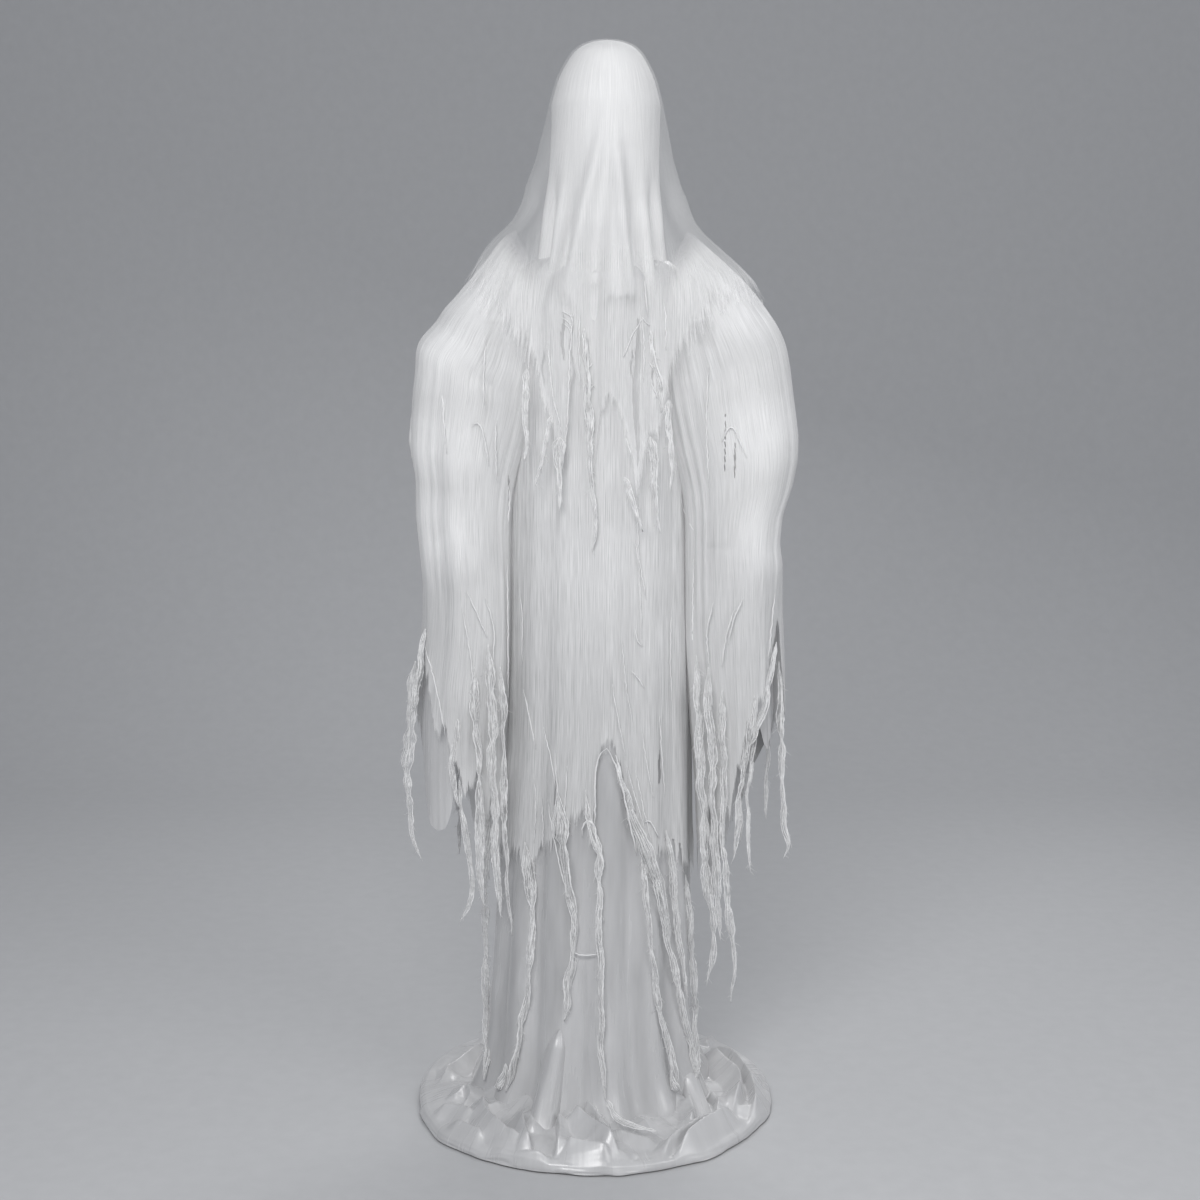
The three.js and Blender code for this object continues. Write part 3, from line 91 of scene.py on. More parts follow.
def curve(xs, ys, spread):
    """A smooth function through a table whose steps are softened over spread."""
    order = np.argsort(xs)
    xs, ys = np.array(xs, float)[order], np.array(ys, float)[order]
    fine = np.linspace(xs[0], xs[-1], 900)
    soft = blur(np.interp(fine, xs, ys), max(0.5, spread / (fine[1] - fine[0])))
    return lambda x: np.interp(x, fine, soft)


def value_noise(u, v, across, along, seed):
    """Smooth noise from -1 to 1 that repeats in u from 0 to 1."""
    grid = np.random.RandomState(seed).uniform(-1, 1, (across, along + 2))
    x, y = np.mod(u, 1) * across, np.clip(v, 0, 1) * along
    i, j = np.floor(x).astype(int), np.floor(y).astype(int)
    s, t = x - i, y - j
    s, t = s * s * (3 - 2 * s), t * t * (3 - 2 * t)
    left, right = i % across, (i + 1) % across
    low = grid[left, j] * (1 - s) + grid[right, j] * s
    high = grid[left, j + 1] * (1 - s) + grid[right, j + 1] * s
    return low * (1 - t) + high * t


def edge_noise(u, count, seed):
    """Noise along a closed edge."""
    return value_noise(u, 0 * u, count, 1, seed)


def gap(a, b):
    """The angle from b to a, from -180 to 180."""
    return (a - b + 180) % 360 - 180


def bump(x, width):
    return np.exp(-0.5 * (x / width) ** 2)


def smooth(x):
    x = np.clip(x, 0, 1)
    return x * x * (3 - 2 * x)


def run_along(points):
    """How far each point lies from the first, along the line through them."""
    return np.concatenate([[0], np.cumsum(np.linalg.norm(np.diff(points, axis=0), axis=1))])


def column_angles(cols):
    return np.linspace(-180, 180, cols, endpoint=False)


def down_from(start, end, rows, angle):
    """Rows of values from start to each column's end, and the columns' angles in the same shape."""
    values = start + (end[None, :] - start) * np.linspace(0, 1, rows)[:, None]
    return values, np.broadcast_to(angle, values.shape)


# Meshes

def add_object(name, data):
    obj = bpy.data.objects.new(name, data)
    bpy.context.scene.collection.objects.link(obj)
    return obj


def mesh_object(name, points, faces, uvs=None, edges=None):
    mesh = bpy.data.meshes.new(name)
    mesh.from_pydata([tuple(p) for p in points], [], faces)
    for layer_name, rows in (("cloth", uvs), ("edge", edges)):
        if rows is not None:
            layer = mesh.uv_layers.new(name=layer_name)
            corners = np.array([uv for face in rows for uv in face], np.float32)
            layer.uv.foreach_set("vector", corners.ravel())
    mesh.validate()
    mesh.polygons.foreach_set("use_smooth", [True] * len(mesh.polygons))
    return add_object(name, mesh)


def grid_sheet(name, points, ring=True, holes=None, close_top=False, fade=1.0):
    """A cloth from points[row, column]; holes is a function of the faces' places and is true where the cloth is
    torn away. The layer "cloth" runs across and down it, and the layer "edge" up from its hem, times fade."""
    rows, cols = points.shape[:2]
    flat = points.reshape(-1, 3)
    steps = np.linalg.norm(np.diff(points, axis=1, append=points[:, :1]), axis=2).mean(axis=0)
    u = np.concatenate([[0], np.cumsum(steps)])
    down = np.linalg.norm(np.diff(points, axis=0), axis=2)
    v = np.concatenate([np.zeros((1, cols)), np.cumsum(down, axis=0)])
    rest = (v[-1] - v) * fade
    r, c = np.meshgrid(np.arange(rows - 1), np.arange(cols if ring else cols - 1), indexing="ij")
    r, c = r.ravel(), c.ravel()
    n = (c + 1) % cols
    corners = ((r, c, c), (r + 1, c, c), (r + 1, n, c + 1), (r, n, c + 1))
    quads = np.stack([row * cols + col for row, col, at in corners], axis=1)
    uv, left = (np.stack([np.stack([u[at], layer[row, col]], 1) for row, col, at in corners], axis=1)
                for layer in (v, rest))
    if holes is not None:
        keep = ~holes(flat[quads].mean(axis=1))
        quads, uv, left = quads[keep], uv[keep], left[keep]
    faces, uvs, edges = quads.tolist(), uv.tolist(), left.tolist()
    if close_top:
        faces.append(list(range(cols))[::-1])
        uvs.append([[u[k], 0.0] for k in range(cols)][::-1])
        edges.append([[u[k], rest[0, k]] for k in range(cols)][::-1])
    used = np.zeros(len(flat), bool)
    for face in faces:
        used[face] = True
    place = np.cumsum(used) - 1
    return mesh_object(name, flat[used], [[int(place[k]) for k in face] for face in faces], uvs, edges)


def slit_test(slits, width_at, in_front_of=0.0, drift=0.0):
    """The holes of a sheet: slits (x, low, high, half width) on its front, shaped by width_at from 0 to 1."""
    def holes(c):
        gone = np.zeros(len(c), bool)
        for x, low, high, half in slits:
            t = (c[:, 2] - low) / (high - low)
            inside = (t > 0) & (t < 1) & (c[:, 1] < in_front_of)
            gone |= inside & (abs(c[:, 0] - x - drift * np.sin(9 * t)) < half * width_at(t))
        return gone
    return holes


def sides_along(path):
    """Two directions across a path, at each of its points."""
    tangent = np.gradient(path, axis=0)
    tangent /= np.linalg.norm(tangent, axis=1)[:, None] + 1e-9
    side = np.cross(tangent, [0, 1, 0])
    side /= np.linalg.norm(side, axis=1)[:, None] + 1e-9
    return side, np.cross(tangent, side)


def spline(points, count):
    """count points along a smooth curve through the given ones."""
    points = np.array(points, float)
    run = run_along(points)
    t = np.linspace(0, run[-1], count)
    out = np.stack([np.interp(t, run, points[:, k]) for k in range(points.shape[1])], 1)
    soft = max(1.0, count / (3.5 * max(1, len(points) - 1)))
    blurred = np.stack([blur(out[:, k], soft) for k in range(points.shape[1])], 1)
    pull = smooth(np.minimum(np.arange(count), np.arange(count)[::-1]) / (2 * soft + 1))[:, None]
    return out * (1 - pull) + blurred * pull


class Threads:
    """Collects the cords and strips of one piece into one mesh; cords take the first material, strips the second."""

    def __init__(self):
        self.points, self.faces, self.uvs, self.kinds = [], [], [], []

    def face(self, corners, uvs, kind):
        self.faces.append(corners)
        self.uvs.append(uvs)
        self.kinds.append(kind)

    def quad(self, a, b, cols, us, vs, kind):
        """A face from the points a and b to those one row of cols further on."""
        uvs = [[us[0], vs[0]], [us[1], vs[0]], [us[1], vs[1]], [us[0], vs[1]]]
        self.face([a, b, b + cols, a + cols], uvs, kind)

    def cord(self, path, radius, sides=5):
        side, other = sides_along(path)
        radius = np.broadcast_to(np.array(radius, float), (len(path),))
        start = len(self.points)
        angle = np.linspace(0, 2 * np.pi, sides, endpoint=False)
        ring = np.cos(angle)[None, :, None] * side[:, None] + np.sin(angle)[None, :, None] * other[:, None]
        self.points.extend((path[:, None] + radius[:, None, None] * ring).reshape(-1, 3))
        run = run_along(path)
        width = 2 * np.pi * float(np.mean(radius))
        for k in range(len(path) - 1):
            for s in range(sides):
                first = start + k * sides
                us = (s / sides * width, (s + 1) / sides * width)
                self.quad(first + s, first + (s + 1) % sides, sides, us, run[k:k + 2], 0)
        end = start + (len(path) - 1) * sides
        self.face([start + s for s in range(sides)][::-1], [[0, 0.0]] * sides, 0)
        self.face([end + s for s in range(sides)], [[0, run[-1]]] * sides, 0)

    def strip(self, points, start_u):
        """points[along, across] is a narrow piece of cloth."""
        rows, cols = points.shape[:2]
        start = len(self.points)
        self.points.extend(points.reshape(-1, 3))
        v = run_along(points[:, cols // 2])
        u = start_u + np.linspace(0, 1, cols) * float(np.linalg.norm(points[:, 0] - points[:, -1], axis=1).mean())
        for r in range(rows - 1):
            for c in range(cols - 1):
                a = start + r * cols + c
                self.quad(a, a + 1, cols, u[c:c + 2], v[r:r + 2], 1)

    def build(self, name):
        obj = mesh_object(name, np.array(self.points), self.faces, self.uvs)
        obj.data.materials.append(MATERIALS["strand"])
        obj.data.materials.append(MATERIALS["net"])
        if len(obj.data.polygons) == len(self.kinds):
            obj.data.polygons.foreach_set("material_index", self.kinds)
        return obj


# Materials

MATTE = {"Specular IOR Level": 0.2, "Sheen Weight": 0.3, "Sheen Roughness": 0.5}


def tint(colour):
    """A colour with its alpha, from three parts or from one grey."""
    return (*colour, 1) if isinstance(colour, tuple) else (colour, colour, colour, 1)


class Finish:
    """One material: the methods add nodes and return the socket that holds the result."""

    def __init__(self, name):
        self.material = bpy.data.materials.new(name)
        self.material.use_nodes = True
        self.nodes, self.links = self.material.node_tree.nodes, self.material.node_tree.links

    def feed(self, node, inputs):
        """Gives a node's inputs their constants and links."""
        for key, value in inputs.items():
            if isinstance(value, bpy.types.NodeSocket):
                self.links.new(value, node.inputs[key])
            else:
                node.inputs[key].default_value = value
        return node

    def cloth(self, layer="cloth"):
        node = self.nodes.new("ShaderNodeUVMap")
        node.uv_map = layer
        return node.outputs["UV"]

    def place(self):
        return self.nodes.new("ShaderNodeTexCoord").outputs["Object"]

    def noise(self, vector, scale, detail=3.0, rough=0.55):
        inputs = {"Vector": vector, "Scale": scale, "Detail": detail, "Roughness": rough}
        return self.feed(self.nodes.new("ShaderNodeTexNoise"), inputs).outputs["Fac"]

    def stretched(self, vector, scale):
        return self.feed(self.nodes.new("ShaderNodeMapping"), {"Vector": vector, "Scale": scale}).outputs["Vector"]

    def grain(self, vector, across, along, detail):
        """Noise stretched along the cloth."""
        return self.noise(self.stretched(vector, (across, along, 1)), 1.0, detail)

    def ramp(self, value, low, high, at=(0.3, 0.7)):
        node = self.nodes.new("ShaderNodeMapRange")
        node.interpolation_type = "SMOOTHSTEP"
        inputs = {"Value": value, "From Min": at[0], "From Max": at[1], "To Min": low, "To Max": high}
        return self.feed(node, inputs).outputs["Result"]

    def colours(self, value, low, high, at=(0.3, 0.7)):
        node = self.feed(self.nodes.new("ShaderNodeValToRGB"), {"Fac": value})
        for element, place, colour in zip(node.color_ramp.elements, at, (low, high)):
            element.position = place
            element.color = tint(colour)
        return node.outputs["Color"]

    def math(self, operation, a, b):
        node = self.nodes.new("ShaderNodeMath")
        node.operation = operation
        return self.feed(node, {0: a, 1: b}).outputs[0]

    def mixed(self, factor, a, b):
        node = self.nodes.new("ShaderNodeMix")
        node.data_type = "RGBA"
        return self.feed(node, {"Factor": factor, "A": a, "B": b}).outputs["Result"]

    def part(self, vector, axis):
        return self.feed(self.nodes.new("ShaderNodeSeparateXYZ"), {0: vector}).outputs[axis]

    def height_share(self, low, high):
        """0 at the lower height and 1 at the upper one."""
        return self.ramp(self.part(self.place(), "Z"), 0.0, 1.0, (low, high))

    def light_spots(self, centres, radius):
        """1 close to any of the places and 0 beyond the radius: where light is painted onto the gauze over the padding.
        """
        place, total = self.place(), None
        for centre in centres:
            node = self.nodes.new("ShaderNodeVectorMath")
            node.operation = "DISTANCE"
            far = self.feed(node, {0: place, 1: centre}).outputs["Value"]
            near = self.ramp(far, 1.0, 0.0, (radius * 0.25, radius))
            total = near if total is None else self.math("MAXIMUM", total, near)
        return total

    def made(self, colour, rough, bumps, inputs):
        """The material. bumps are (value, strength, distance) from the coarsest to the finest."""
        normal = {}
        for value, strength, distance in bumps:
            node = self.feed(self.nodes.new("ShaderNodeBump"), {"Height": value, "Strength": strength,
                                                                "Distance": distance, **normal})
            normal = {"Normal": node.outputs["Normal"]}
        self.feed(self.nodes["Principled BSDF"], {"Base Color": colour, "Roughness": rough, **inputs, **normal})
        return self.material


def gauze(name, low, high, sheer, dense, fine=0.10, lit_upper=None, lit_patches=None, fray=0.03, thin=None, start=None):
    """Sheer crinkled gauze: fine threads run down the cloth, with loose and dense places, and its hem thins out to
    bare threads over the distance fray. lit_upper is (low, high, heights): its colours higher up, made lighter as
    painted light from above. lit_patches lie on padding, where lighter colour is painted: painted light on the bulges.
    thin is (low, high, cover): it is sheerer higher up. It fades in over the distance start."""
    m = Finish(name)
    cloth = m.cloth()
    threads, wide, weft = m.grain(cloth, 1100, 14, 2.0), m.grain(cloth, 90, 3.0, 3.0), m.grain(cloth, 60, 1300, 1.0)
    tone = m.colours(wide, low, high, (0.25, 0.75))
    # Painted light: the gauze gets lighter colours higher up, where the light from above falls.
    if lit_upper is not None:
        tone = m.mixed(m.height_share(*lit_upper[2]), tone, m.colours(wide, lit_upper[0], lit_upper[1], (0.25, 0.75)))
    if lit_patches is not None:
        # Painted light: the gauze is lighter around these places on the padded bulges.
        tone = m.mixed(m.light_spots(lit_patches, 0.095), tone, tint(0.88))
    streak = m.ramp(threads, sheer, 1.0, (0.3, 0.65))
    body = m.ramp(m.noise(m.place(), 7.0), dense * 0.9, dense, (0.35, 0.65))
    near_hem = m.ramp(m.part(m.cloth("edge"), "Y"), 0.0, 0.6, (0.0, fray))
    frayed = m.ramp(m.math("ADD", near_hem, m.grain(cloth, 420, 9, 3.0)), 0.0, 1.0, (0.50, 0.68))
    cover = m.math("MULTIPLY", m.math("MULTIPLY", streak, body), frayed)
    if thin is not None:
        cover = m.math("MULTIPLY", cover, m.ramp(m.height_share(*thin[:2]), 1.0, thin[2], (0, 1)))
    if start is not None:
        cover = m.math("MULTIPLY", cover, m.ramp(m.part(cloth, "Y"), 0.15, 1.0, (0.0, start)))
    return m.made(tone, m.ramp(wide, 0.80, 0.92),
                  [(wide, fine * 1.4, 0.003), (threads, fine * 1.2, 0.0008), (weft, fine, 0.0003)],
                  {"Alpha": cover, **MATTE})


def net(name, low, high):
    """Loose gauze of pulled threads, for the torn strips."""
    m = Finish(name)
    warp, knots = m.grain(m.cloth(), 950, 38, 3.0), m.grain(m.cloth(), 150, 40, 3.0)
    cover = m.math("MULTIPLY", m.ramp(warp, 0.22, 0.95, (0.40, 0.60)), m.ramp(knots, 0.35, 1.0, (0.35, 0.60)))
    return m.made(m.colours(warp, low, high, (0.3, 0.65)), m.ramp(warp, 0.75, 0.95),
                  [(knots, 0.25, 0.002), (warp, 0.3, 0.0008)], {"Alpha": cover, **MATTE})


def fibre(name, low, high):
    """Twisted gauze: matted threads along the strand."""
    m = Finish(name)
    threads, knots = m.grain(m.cloth(), 900, 60, 3.0), m.grain(m.cloth(), 120, 45, 3.0)
    return m.made(m.colours(knots, low, high, (0.3, 0.65)), m.ramp(threads, 0.75, 0.95),
                  [(knots, 0.7, 0.004), (threads, 0.8, 0.0012)], MATTE)


def satin(name, low, high, rough=(0.20, 0.32)):
    """Smooth satin: a soft sheen, very fine threads and faint creases. Its colour is painted darker in the creases'
    hollows and lighter on their ridges: painted shade and highlight.
    """
    m = Finish(name)
    threads, creases = m.grain(m.cloth(), 1500, 60, 1.0), m.grain(m.cloth(), 24, 2.5, 4.0)
    # The creases' noise also sets the colour: painted shade in their hollows and painted light on their ridges.
    return m.made(m.colours(creases, low, high, (0.3, 0.72)), m.ramp(creases, *rough),
                  [(creases, 0.35, 0.004), (threads, 0.12, 0.0003)],
                  {"Specular IOR Level": 0.8, "Anisotropic": 0.4, "Sheen Weight": 0.25, "Sheen Roughness": 0.35})


def hard(name, low, high, rough, metallic=0.0, scale=60.0, stretch=(1, 1, 1), bumpy=0.1, coat=0.0):
    """A hard surface with grain, small marks and wear in its gloss."""
    m = Finish(name)
    place = m.stretched(m.place(), stretch)
    grain, wear = m.noise(place, scale * 12, 2.0), m.noise(place, scale, 5.0, 0.6)
    return m.made(m.colours(wear, low, high), m.ramp(wear, rough * 0.85, min(1.0, rough * 1.2)),
                  [(wear, bumpy, 0.001), (grain, bumpy, 0.0003)], {"Metallic": metallic, "Coat Weight": coat})


def lamp_cover(name):
    m = Finish(name)
    frost = m.noise(m.place(), 500.0, 2.0)
    return m.made(m.colours(frost, (0.78, 0.83, 0.9), (0.88, 0.92, 0.97)), m.ramp(frost, 0.35, 0.5),
                  [(frost, 0.2, 0.0003)], {"Emission Color": (0.85, 0.92, 1.0, 1), "Emission Strength": 0.6})


# Places on the sleeve gauze where lighter colour is painted: painted light on the padded bulges of the arms.
ARM_LIT_PATCHES = [
    (-0.262, -0.06, 1.325), (-0.262, -0.07, 1.176), (-0.262, -0.07, 1.030),
    (0.250, -0.05, 1.408), (0.262, -0.07, 1.190), (0.280, -0.07, 1.025), (-0.21, -0.05, 1.42),
]
MATERIALS = {
    "veil": gauze("veil_gauze", 0.76, 0.84, 0.50, 0.66, fray=0.05, thin=(1.35, 1.54, 0.42)),
    "hood": gauze("hood_gauze", 0.76, 0.83, 0.90, 0.95, fray=0.05),
    # The overdress and sleeve gauze are painted lighter higher up: painted light from above.
    "overdress": gauze("overdress_gauze", 0.66, 0.74, 0.62, 0.90, lit_upper=(0.77, 0.84, (0.70, 1.05)), fray=0.06,
                       start=0.05),
    "sleeve": gauze("sleeve_gauze", 0.64, 0.74, 0.70, 0.93, 0.12, (0.71, 0.80, (0.7, 1.1)), ARM_LIT_PATCHES, fray=0.04,
                    start=0.05),
    "satin": satin("robe_satin", (0.43, 0.43, 0.435), (0.61, 0.61, 0.615)),
    "base_satin": satin("base_satin", (0.50, 0.50, 0.505), (0.62, 0.62, 0.625), (0.24, 0.36)),
    "lining": satin("sleeve_satin", (0.50, 0.50, 0.505), (0.63, 0.63, 0.635)),
    "strand": fibre("twisted_gauze", 0.74, 0.87),
    "net": net("torn_gauze_net", 0.66, 0.80),
    "padding": hard("stuffed_cloth", (0.84, 0.84, 0.83), (0.9, 0.9, 0.89), 0.9, scale=40, bumpy=0.4),
    "head": hard("head_form", (0.84, 0.84, 0.83), (0.89, 0.89, 0.88), 0.55, scale=30, bumpy=0.05),
    "board": hard("pressed_board", (0.36, 0.28, 0.19), (0.5, 0.4, 0.28), 0.8, scale=50, bumpy=0.3),
    "black_steel": hard("black_steel", (0.022, 0.022, 0.025), (0.045, 0.045, 0.05), 0.45, 0.2, 40),
    "steel": hard("zinc_steel", (0.46, 0.47, 0.49), (0.6, 0.61, 0.63), 0.35, 0.9, 50, (1, 1, 6)),
    "shell": hard("white_plastic", (0.76, 0.76, 0.74), (0.83, 0.83, 0.81), 0.5, scale=50),
    "black_plastic": hard("black_plastic", (0.02, 0.02, 0.022), (0.04, 0.04, 0.043), 0.55),
    "gear_plastic": hard("nylon", (0.62, 0.6, 0.5), (0.72, 0.7, 0.6), 0.5),
    "lens": lamp_cover("frosted_lens"),
    "circuit": hard("board_lacquer", (0.03, 0.12, 0.06), (0.06, 0.19, 0.1), 0.4, scale=90, coat=0.3),
}


def dress(obj, key):
    obj.data.materials.clear()
    obj.data.materials.append(MATERIALS[key])
    return obj


# CAD nodes keep their meshes and get the finish of their slot
slot_of = {part["node"]: part["material_slot"] for part in frame["record"]["subparts"]}
for node, obj in frame["nodes"].items():
    dress(obj, "sleeve" if slot_of[node] == "gauze" else slot_of[node])


# Robe: half width and half depth against height, and folds (angle, half width in degrees, height)

ROBE_TOP, ROBE_FOOT = 1.435, 0.026
ROBE_Z, ROBE_W, ROBE_D = (row[0] / MM for row in rows_of("""
30 50 80 120 200 300 450 700 1000 1300 1440 1480; 215 200 187 180 174 168 160 150 146 146 143 125; 195 180 167 160
152 145 131 118 108 104 98 85"""))
ROBE_FOLDS = numbers("""
-78,7,6 -62,6,-7 -48,8,6 -34,5,-8 -20,8,5 -4,6,-4 8,8,5 25,5,-9 38,7,6 52,5,-6 66,8,7 84,6,-5 104,9,7 124,6,-8
143,9,6 162,6,-8 -177,9,7 -158,6,-8 -140,9,6 -120,6,-8 -101,9,6""", 3) / (1, 1, MM)
robe_x = curve([0.03, 0.10, 0.25, 0.45, 0.70, 1.5], [-0.014, -0.014, -0.013, -0.008, 0.0, 0.0], 0.05)
robe_w, robe_d = curve(ROBE_Z, ROBE_W, 0.02), curve(ROBE_Z, ROBE_D, 0.02)


def robe_fold(angle, z):
    total = np.zeros_like(angle)
    drift = 3.0 * np.sin(3.0 * z)
    for middle, width, height in ROBE_FOLDS:
        total = total + height * bump(gap(angle + drift, middle), width)
    return total * (0.25 + 1.05 * smooth((0.95 - z) / 0.70) + 0.5 * smooth((0.12 - z) / 0.1))


def robe_point(angle, z, out=0.0):
    """Points out from the robe: angle 0 is the front and 90 the figure's side at +X in the photo."""
    lift = robe_fold(angle, z) + out
    a = np.radians(angle)
    x = robe_x(z) + (robe_w(z) + lift) * np.sin(a)
    return np.stack([x, -(robe_d(z) + lift) * np.cos(a), z + 0 * a], axis=-1)


def on_robe(points, clear):
    """Puts (x, z) marks on the robe's front, or on its back with clear below 0."""
    out = []
    for x, z in points:
        far = abs(clear)
        w, d = float(robe_w(z)) + far, float(robe_d(z)) + far
        angle = math.degrees(math.asin(np.clip((x - float(robe_x(z))) / w, -1, 1)))
        angle = 180 - angle if clear < 0 else angle
        fold = float(robe_fold(np.array(angle), np.array(z)))
        out.append((x, -(d + fold) * math.cos(math.radians(angle)), z))
    return out


def build_robe():
    cols, rows = ((400, 150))
    angle = column_angles(cols)
    run = np.linspace(0, 1, rows)[:, None]
    z = ROBE_TOP + (ROBE_FOOT - ROBE_TOP) * run ** 0.92 + 0 * angle[None, :]
    angle = np.broadcast_to(angle, z.shape)
    points = robe_point(angle, z, 0.0015 * value_noise(angle / 360 + 0.5, (1.5 - z) / 1.5, 40, 30, 11))
    # A rounded collar closes it towards the neck
    rise = np.linspace(0, math.pi / 2, 9)[:-1, None]
    cap = points[:1] * np.stack([0.38 + 0.62 * np.sin(rise)] * 3, axis=-1)
    cap[..., 2] = points[:1, :, 2] + 0.055 * np.cos(rise)
    return dress(grid_sheet("robe", np.concatenate([cap, points])), "satin")


# Overdress: fine crinkled gauze over the robe, torn into strips from the knees down

OVERDRESS_TOP = 1.455
OVERDRESS_CLEAR = 0.006
OVERDRESS_HEM = hem_table("""
-180,450 -166,400 -158,520 -150,440 -138,360 -128,500 -118,420 -108,380 -98,470 -88,400 -80,460 -70,440 -60,455
-52,455 -44,445 -38,455 -31,476 -27,480 -22,500 -17,520 -13,535 -9.5,545 -7,530 -5,500 -3.2,480 -2.2,550 -1.5,620
0.5,655 5,671 9,657 12,638 15,609 20,542 26.5,467 29,440 32,430 35,460 39,470 46,460 54,440 62,450 72,400 80,460
90,420 100,460 112,380 120,450 132,500 142,420 152,370 162,480 172,420 180,450""")
OVERDRESS_SLITS = [
    (0.069, 0.46, 0.525, 0.010), (0.125, 0.455, 0.50, 0.006), (0.137, 0.44, 0.49, 0.005),
    (-0.10, 0.47, 0.50, 0.005), (0.10, 0.60, 0.66, 0.003), (-0.075, 0.56, 0.61, 0.003),
]


def torn(angle, table, seed, teeth, depth):
    """The height of a torn hem: its table of angles and heights, plus frayed teeth."""
    u = (angle + 180) / 360
    ragged = edge_noise(u, teeth, seed) + 0.6 * edge_noise(u, teeth * 3, seed + 1)
    return np.interp(angle, *table.T) + depth * ragged


def crinkle(angle, z, seed, size):
    """Fine pleats that run down the cloth."""
    u = (angle + 180) / 360
    return size * (0.45 * value_noise(u, z * 0.5, 150, 5, seed) + 0.8 * value_noise(u, z * 0.5, 46, 4, seed + 1))


def build_overdress():
    cols, rows = ((620, 120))
    angle = column_angles(cols)
    hem = torn(angle, OVERDRESS_HEM, 5, 90, 0.010)
    z, angle = down_from(OVERDRESS_TOP, hem, rows, angle)
    flare = 0.002 * smooth((hem[None, :] + 0.05 - z) / 0.05)
    points = robe_point(angle, z, OVERDRESS_CLEAR + crinkle(angle, z, 21, 0.0015) + flare)
    holes = slit_test(OVERDRESS_SLITS, lambda t: np.sqrt(np.clip(1 - t, 0, 1)) * smooth(t * 6))
    return dress(grid_sheet("overdress_gauze", points, holes=holes), "overdress")


# Veil: one sheet from the crown down over the chest and the back. Its outline at the head (half width, height) and
# at the shoulders (height, half width), its half depth against height, and its hem (angle, height)

CROWN = numbers("""
2,1830 25,1829 45,1821.5 58,1811 67.5,1797 77,1780 84,1764 92,1735 99,1703 107,1670 113.5,1639 125,1606 135,1573
147,1541 160,1522 173.5,1507 206.5,1475 239.5,1442 264.5,1412 279.5,1391 300,1350 318,1300 322,1000""", 2) / MM
SHOULDERS = {
    -1: """
1620,111 1590,121 1573,126 1548,136 1536,143 1522,158 1506,175 1475,200 1442,228 1412,256 1392,271.5 1378,276
1358,293 1340,314 1310,314.5 1000,320""",
    1: """
1620,129 1590,137 1573,144 1548,150 1536,154 1522,164 1508,178 1475,218 1442,255 1412,277 1390,291 1374,300 1343,314
1312,321 1000,330""",
}
VEIL_DEPTH = numbers("""
1830,2 1829,25 1821.5,46 1811,60 1797,70 1764,86 1735,92 1670,97 1606,102 1540,108 1480,113 1420,119 1300,122
1000,124""", 2) / MM
VEIL_HEM = hem_table("""
-180,1220 -172,1140 -166,1250 -158,1270 -150,1130 -143,1260 -136,1290 -128,1310 -120,1340 -112,1390 -100,1430
-90,1445 -78,1445 -68,1420 -61.7,1385 -58.8,1375 -55.3,1355 -51.1,1335 -47.1,1315 -44,1300 -42.5,1300 -40.1,1280
-37.2,1240 -33.8,1210 -31.1,1200 -29.3,1150 -27.5,1120 -25.2,1150 -23.3,1230 -19.8,1290 -15.5,1270 -12.1,1230
-9.7,1190 -6.7,1120 -3.7,1140 0,1220 4.9,1250 10.9,1230 16.6,1190 20.8,1150 23.8,1100 26.6,1110 30,1170 34.4,1190
38.4,1190 41,1240 43.3,1280 47.1,1310 51.1,1335 55.3,1355 58.8,1375 61.7,1390 68,1400 78,1410 90,1415 100,1405
112,1380 120,1340 128,1310 136,1290 144,1150 152,1260 160,1280 168,1130 175,1240 180,1220""")
# Folds that fall from the crown: angle at the height 1.5, half width in degrees, height, where they begin and where
# they are full, and how far the angle drifts for each metre upwards
VEIL_FOLDS = numbers("""
-23,5.5,10.5,1750,1570,110 -6,7,-12,1640,1470,20 7,4,3,1680,1520,0 20,5,10.5,1730,1580,-55 34,5,-10,1620,1470,-30
46,5,6,1660,1500,-20 -37,5,-7,1620,1480,30 -48,5,6,1660,1500,20 -62,5,-6,1640,1520,0 60,5,-6,1640,1520,0
-76,6,4.5,1640,1550,0 74,6,4.5,1640,1550,0 104,6,5,1700,1500,0 118,6,-6,1700,1500,0 134,7,7,1720,1500,40
150,6,-8,1720,1500,60 165,6,8,1740,1500,40 178,6,-7,1740,1500,0 -167,6,8,1720,1500,-40 -152,6,-8,1720,1500,-60
-136,7,7,1720,1500,-40 -119,6,-6,1700,1500,0 -104,6,5,1700,1500,0""", 6) / (1, 1, MM, MM, MM, 1)
# Slits and ladders: x, low, high, half width
VEIL_SLITS = numbers("""
60,1120,1380,5.5 -60,1300,1388,3 -45.5,1285,1385,1.8 -20,1235,1345,1.6 51,1270,1330,1.6 86,1250,1320,1.4
78,1120,1200,1.6 -92,1265,1330,1.4""", 4) / MM

veil_x = curve([1.0, 1.5, 1.57, 1.64, 1.70, 1.76, 1.83], [0.0, 0.004, 0.005, 0.0075, 0.010, 0.010, 0.012], 0.03)
crown_run = run_along(CROWN)
veil_w_run = curve(crown_run, CROWN[:, 0], 0.006)
veil_z_run = curve(crown_run, CROWN[:, 1], 0.004)
fine_run = np.linspace(0, crown_run[-1], 2000)
veil_d_run = curve(fine_run, curve(*VEIL_DEPTH.T, 0.004)(veil_z_run(fine_run)), 0.004)
shoulder_half = {side: curve(*(numbers(text, 2) / MM).T, 0.006) for side, text in SHOULDERS.items()}


def run_at_z(z):
    return np.interp(-z, -veil_z_run(fine_run), fine_run)


def veil_fold(angle, z):
    total = np.zeros_like(angle)
    for middle, width, height, begin, full, drift in VEIL_FOLDS:
        place = middle + drift * np.clip(z - 1.5, -0.10, 0.25)
        total = total + height * bump(gap(angle, place), width) * smooth((begin - z) / (begin - full))
    return 1.45 * total * (1 - 0.55 * smooth((1.43 - z) / 0.13))


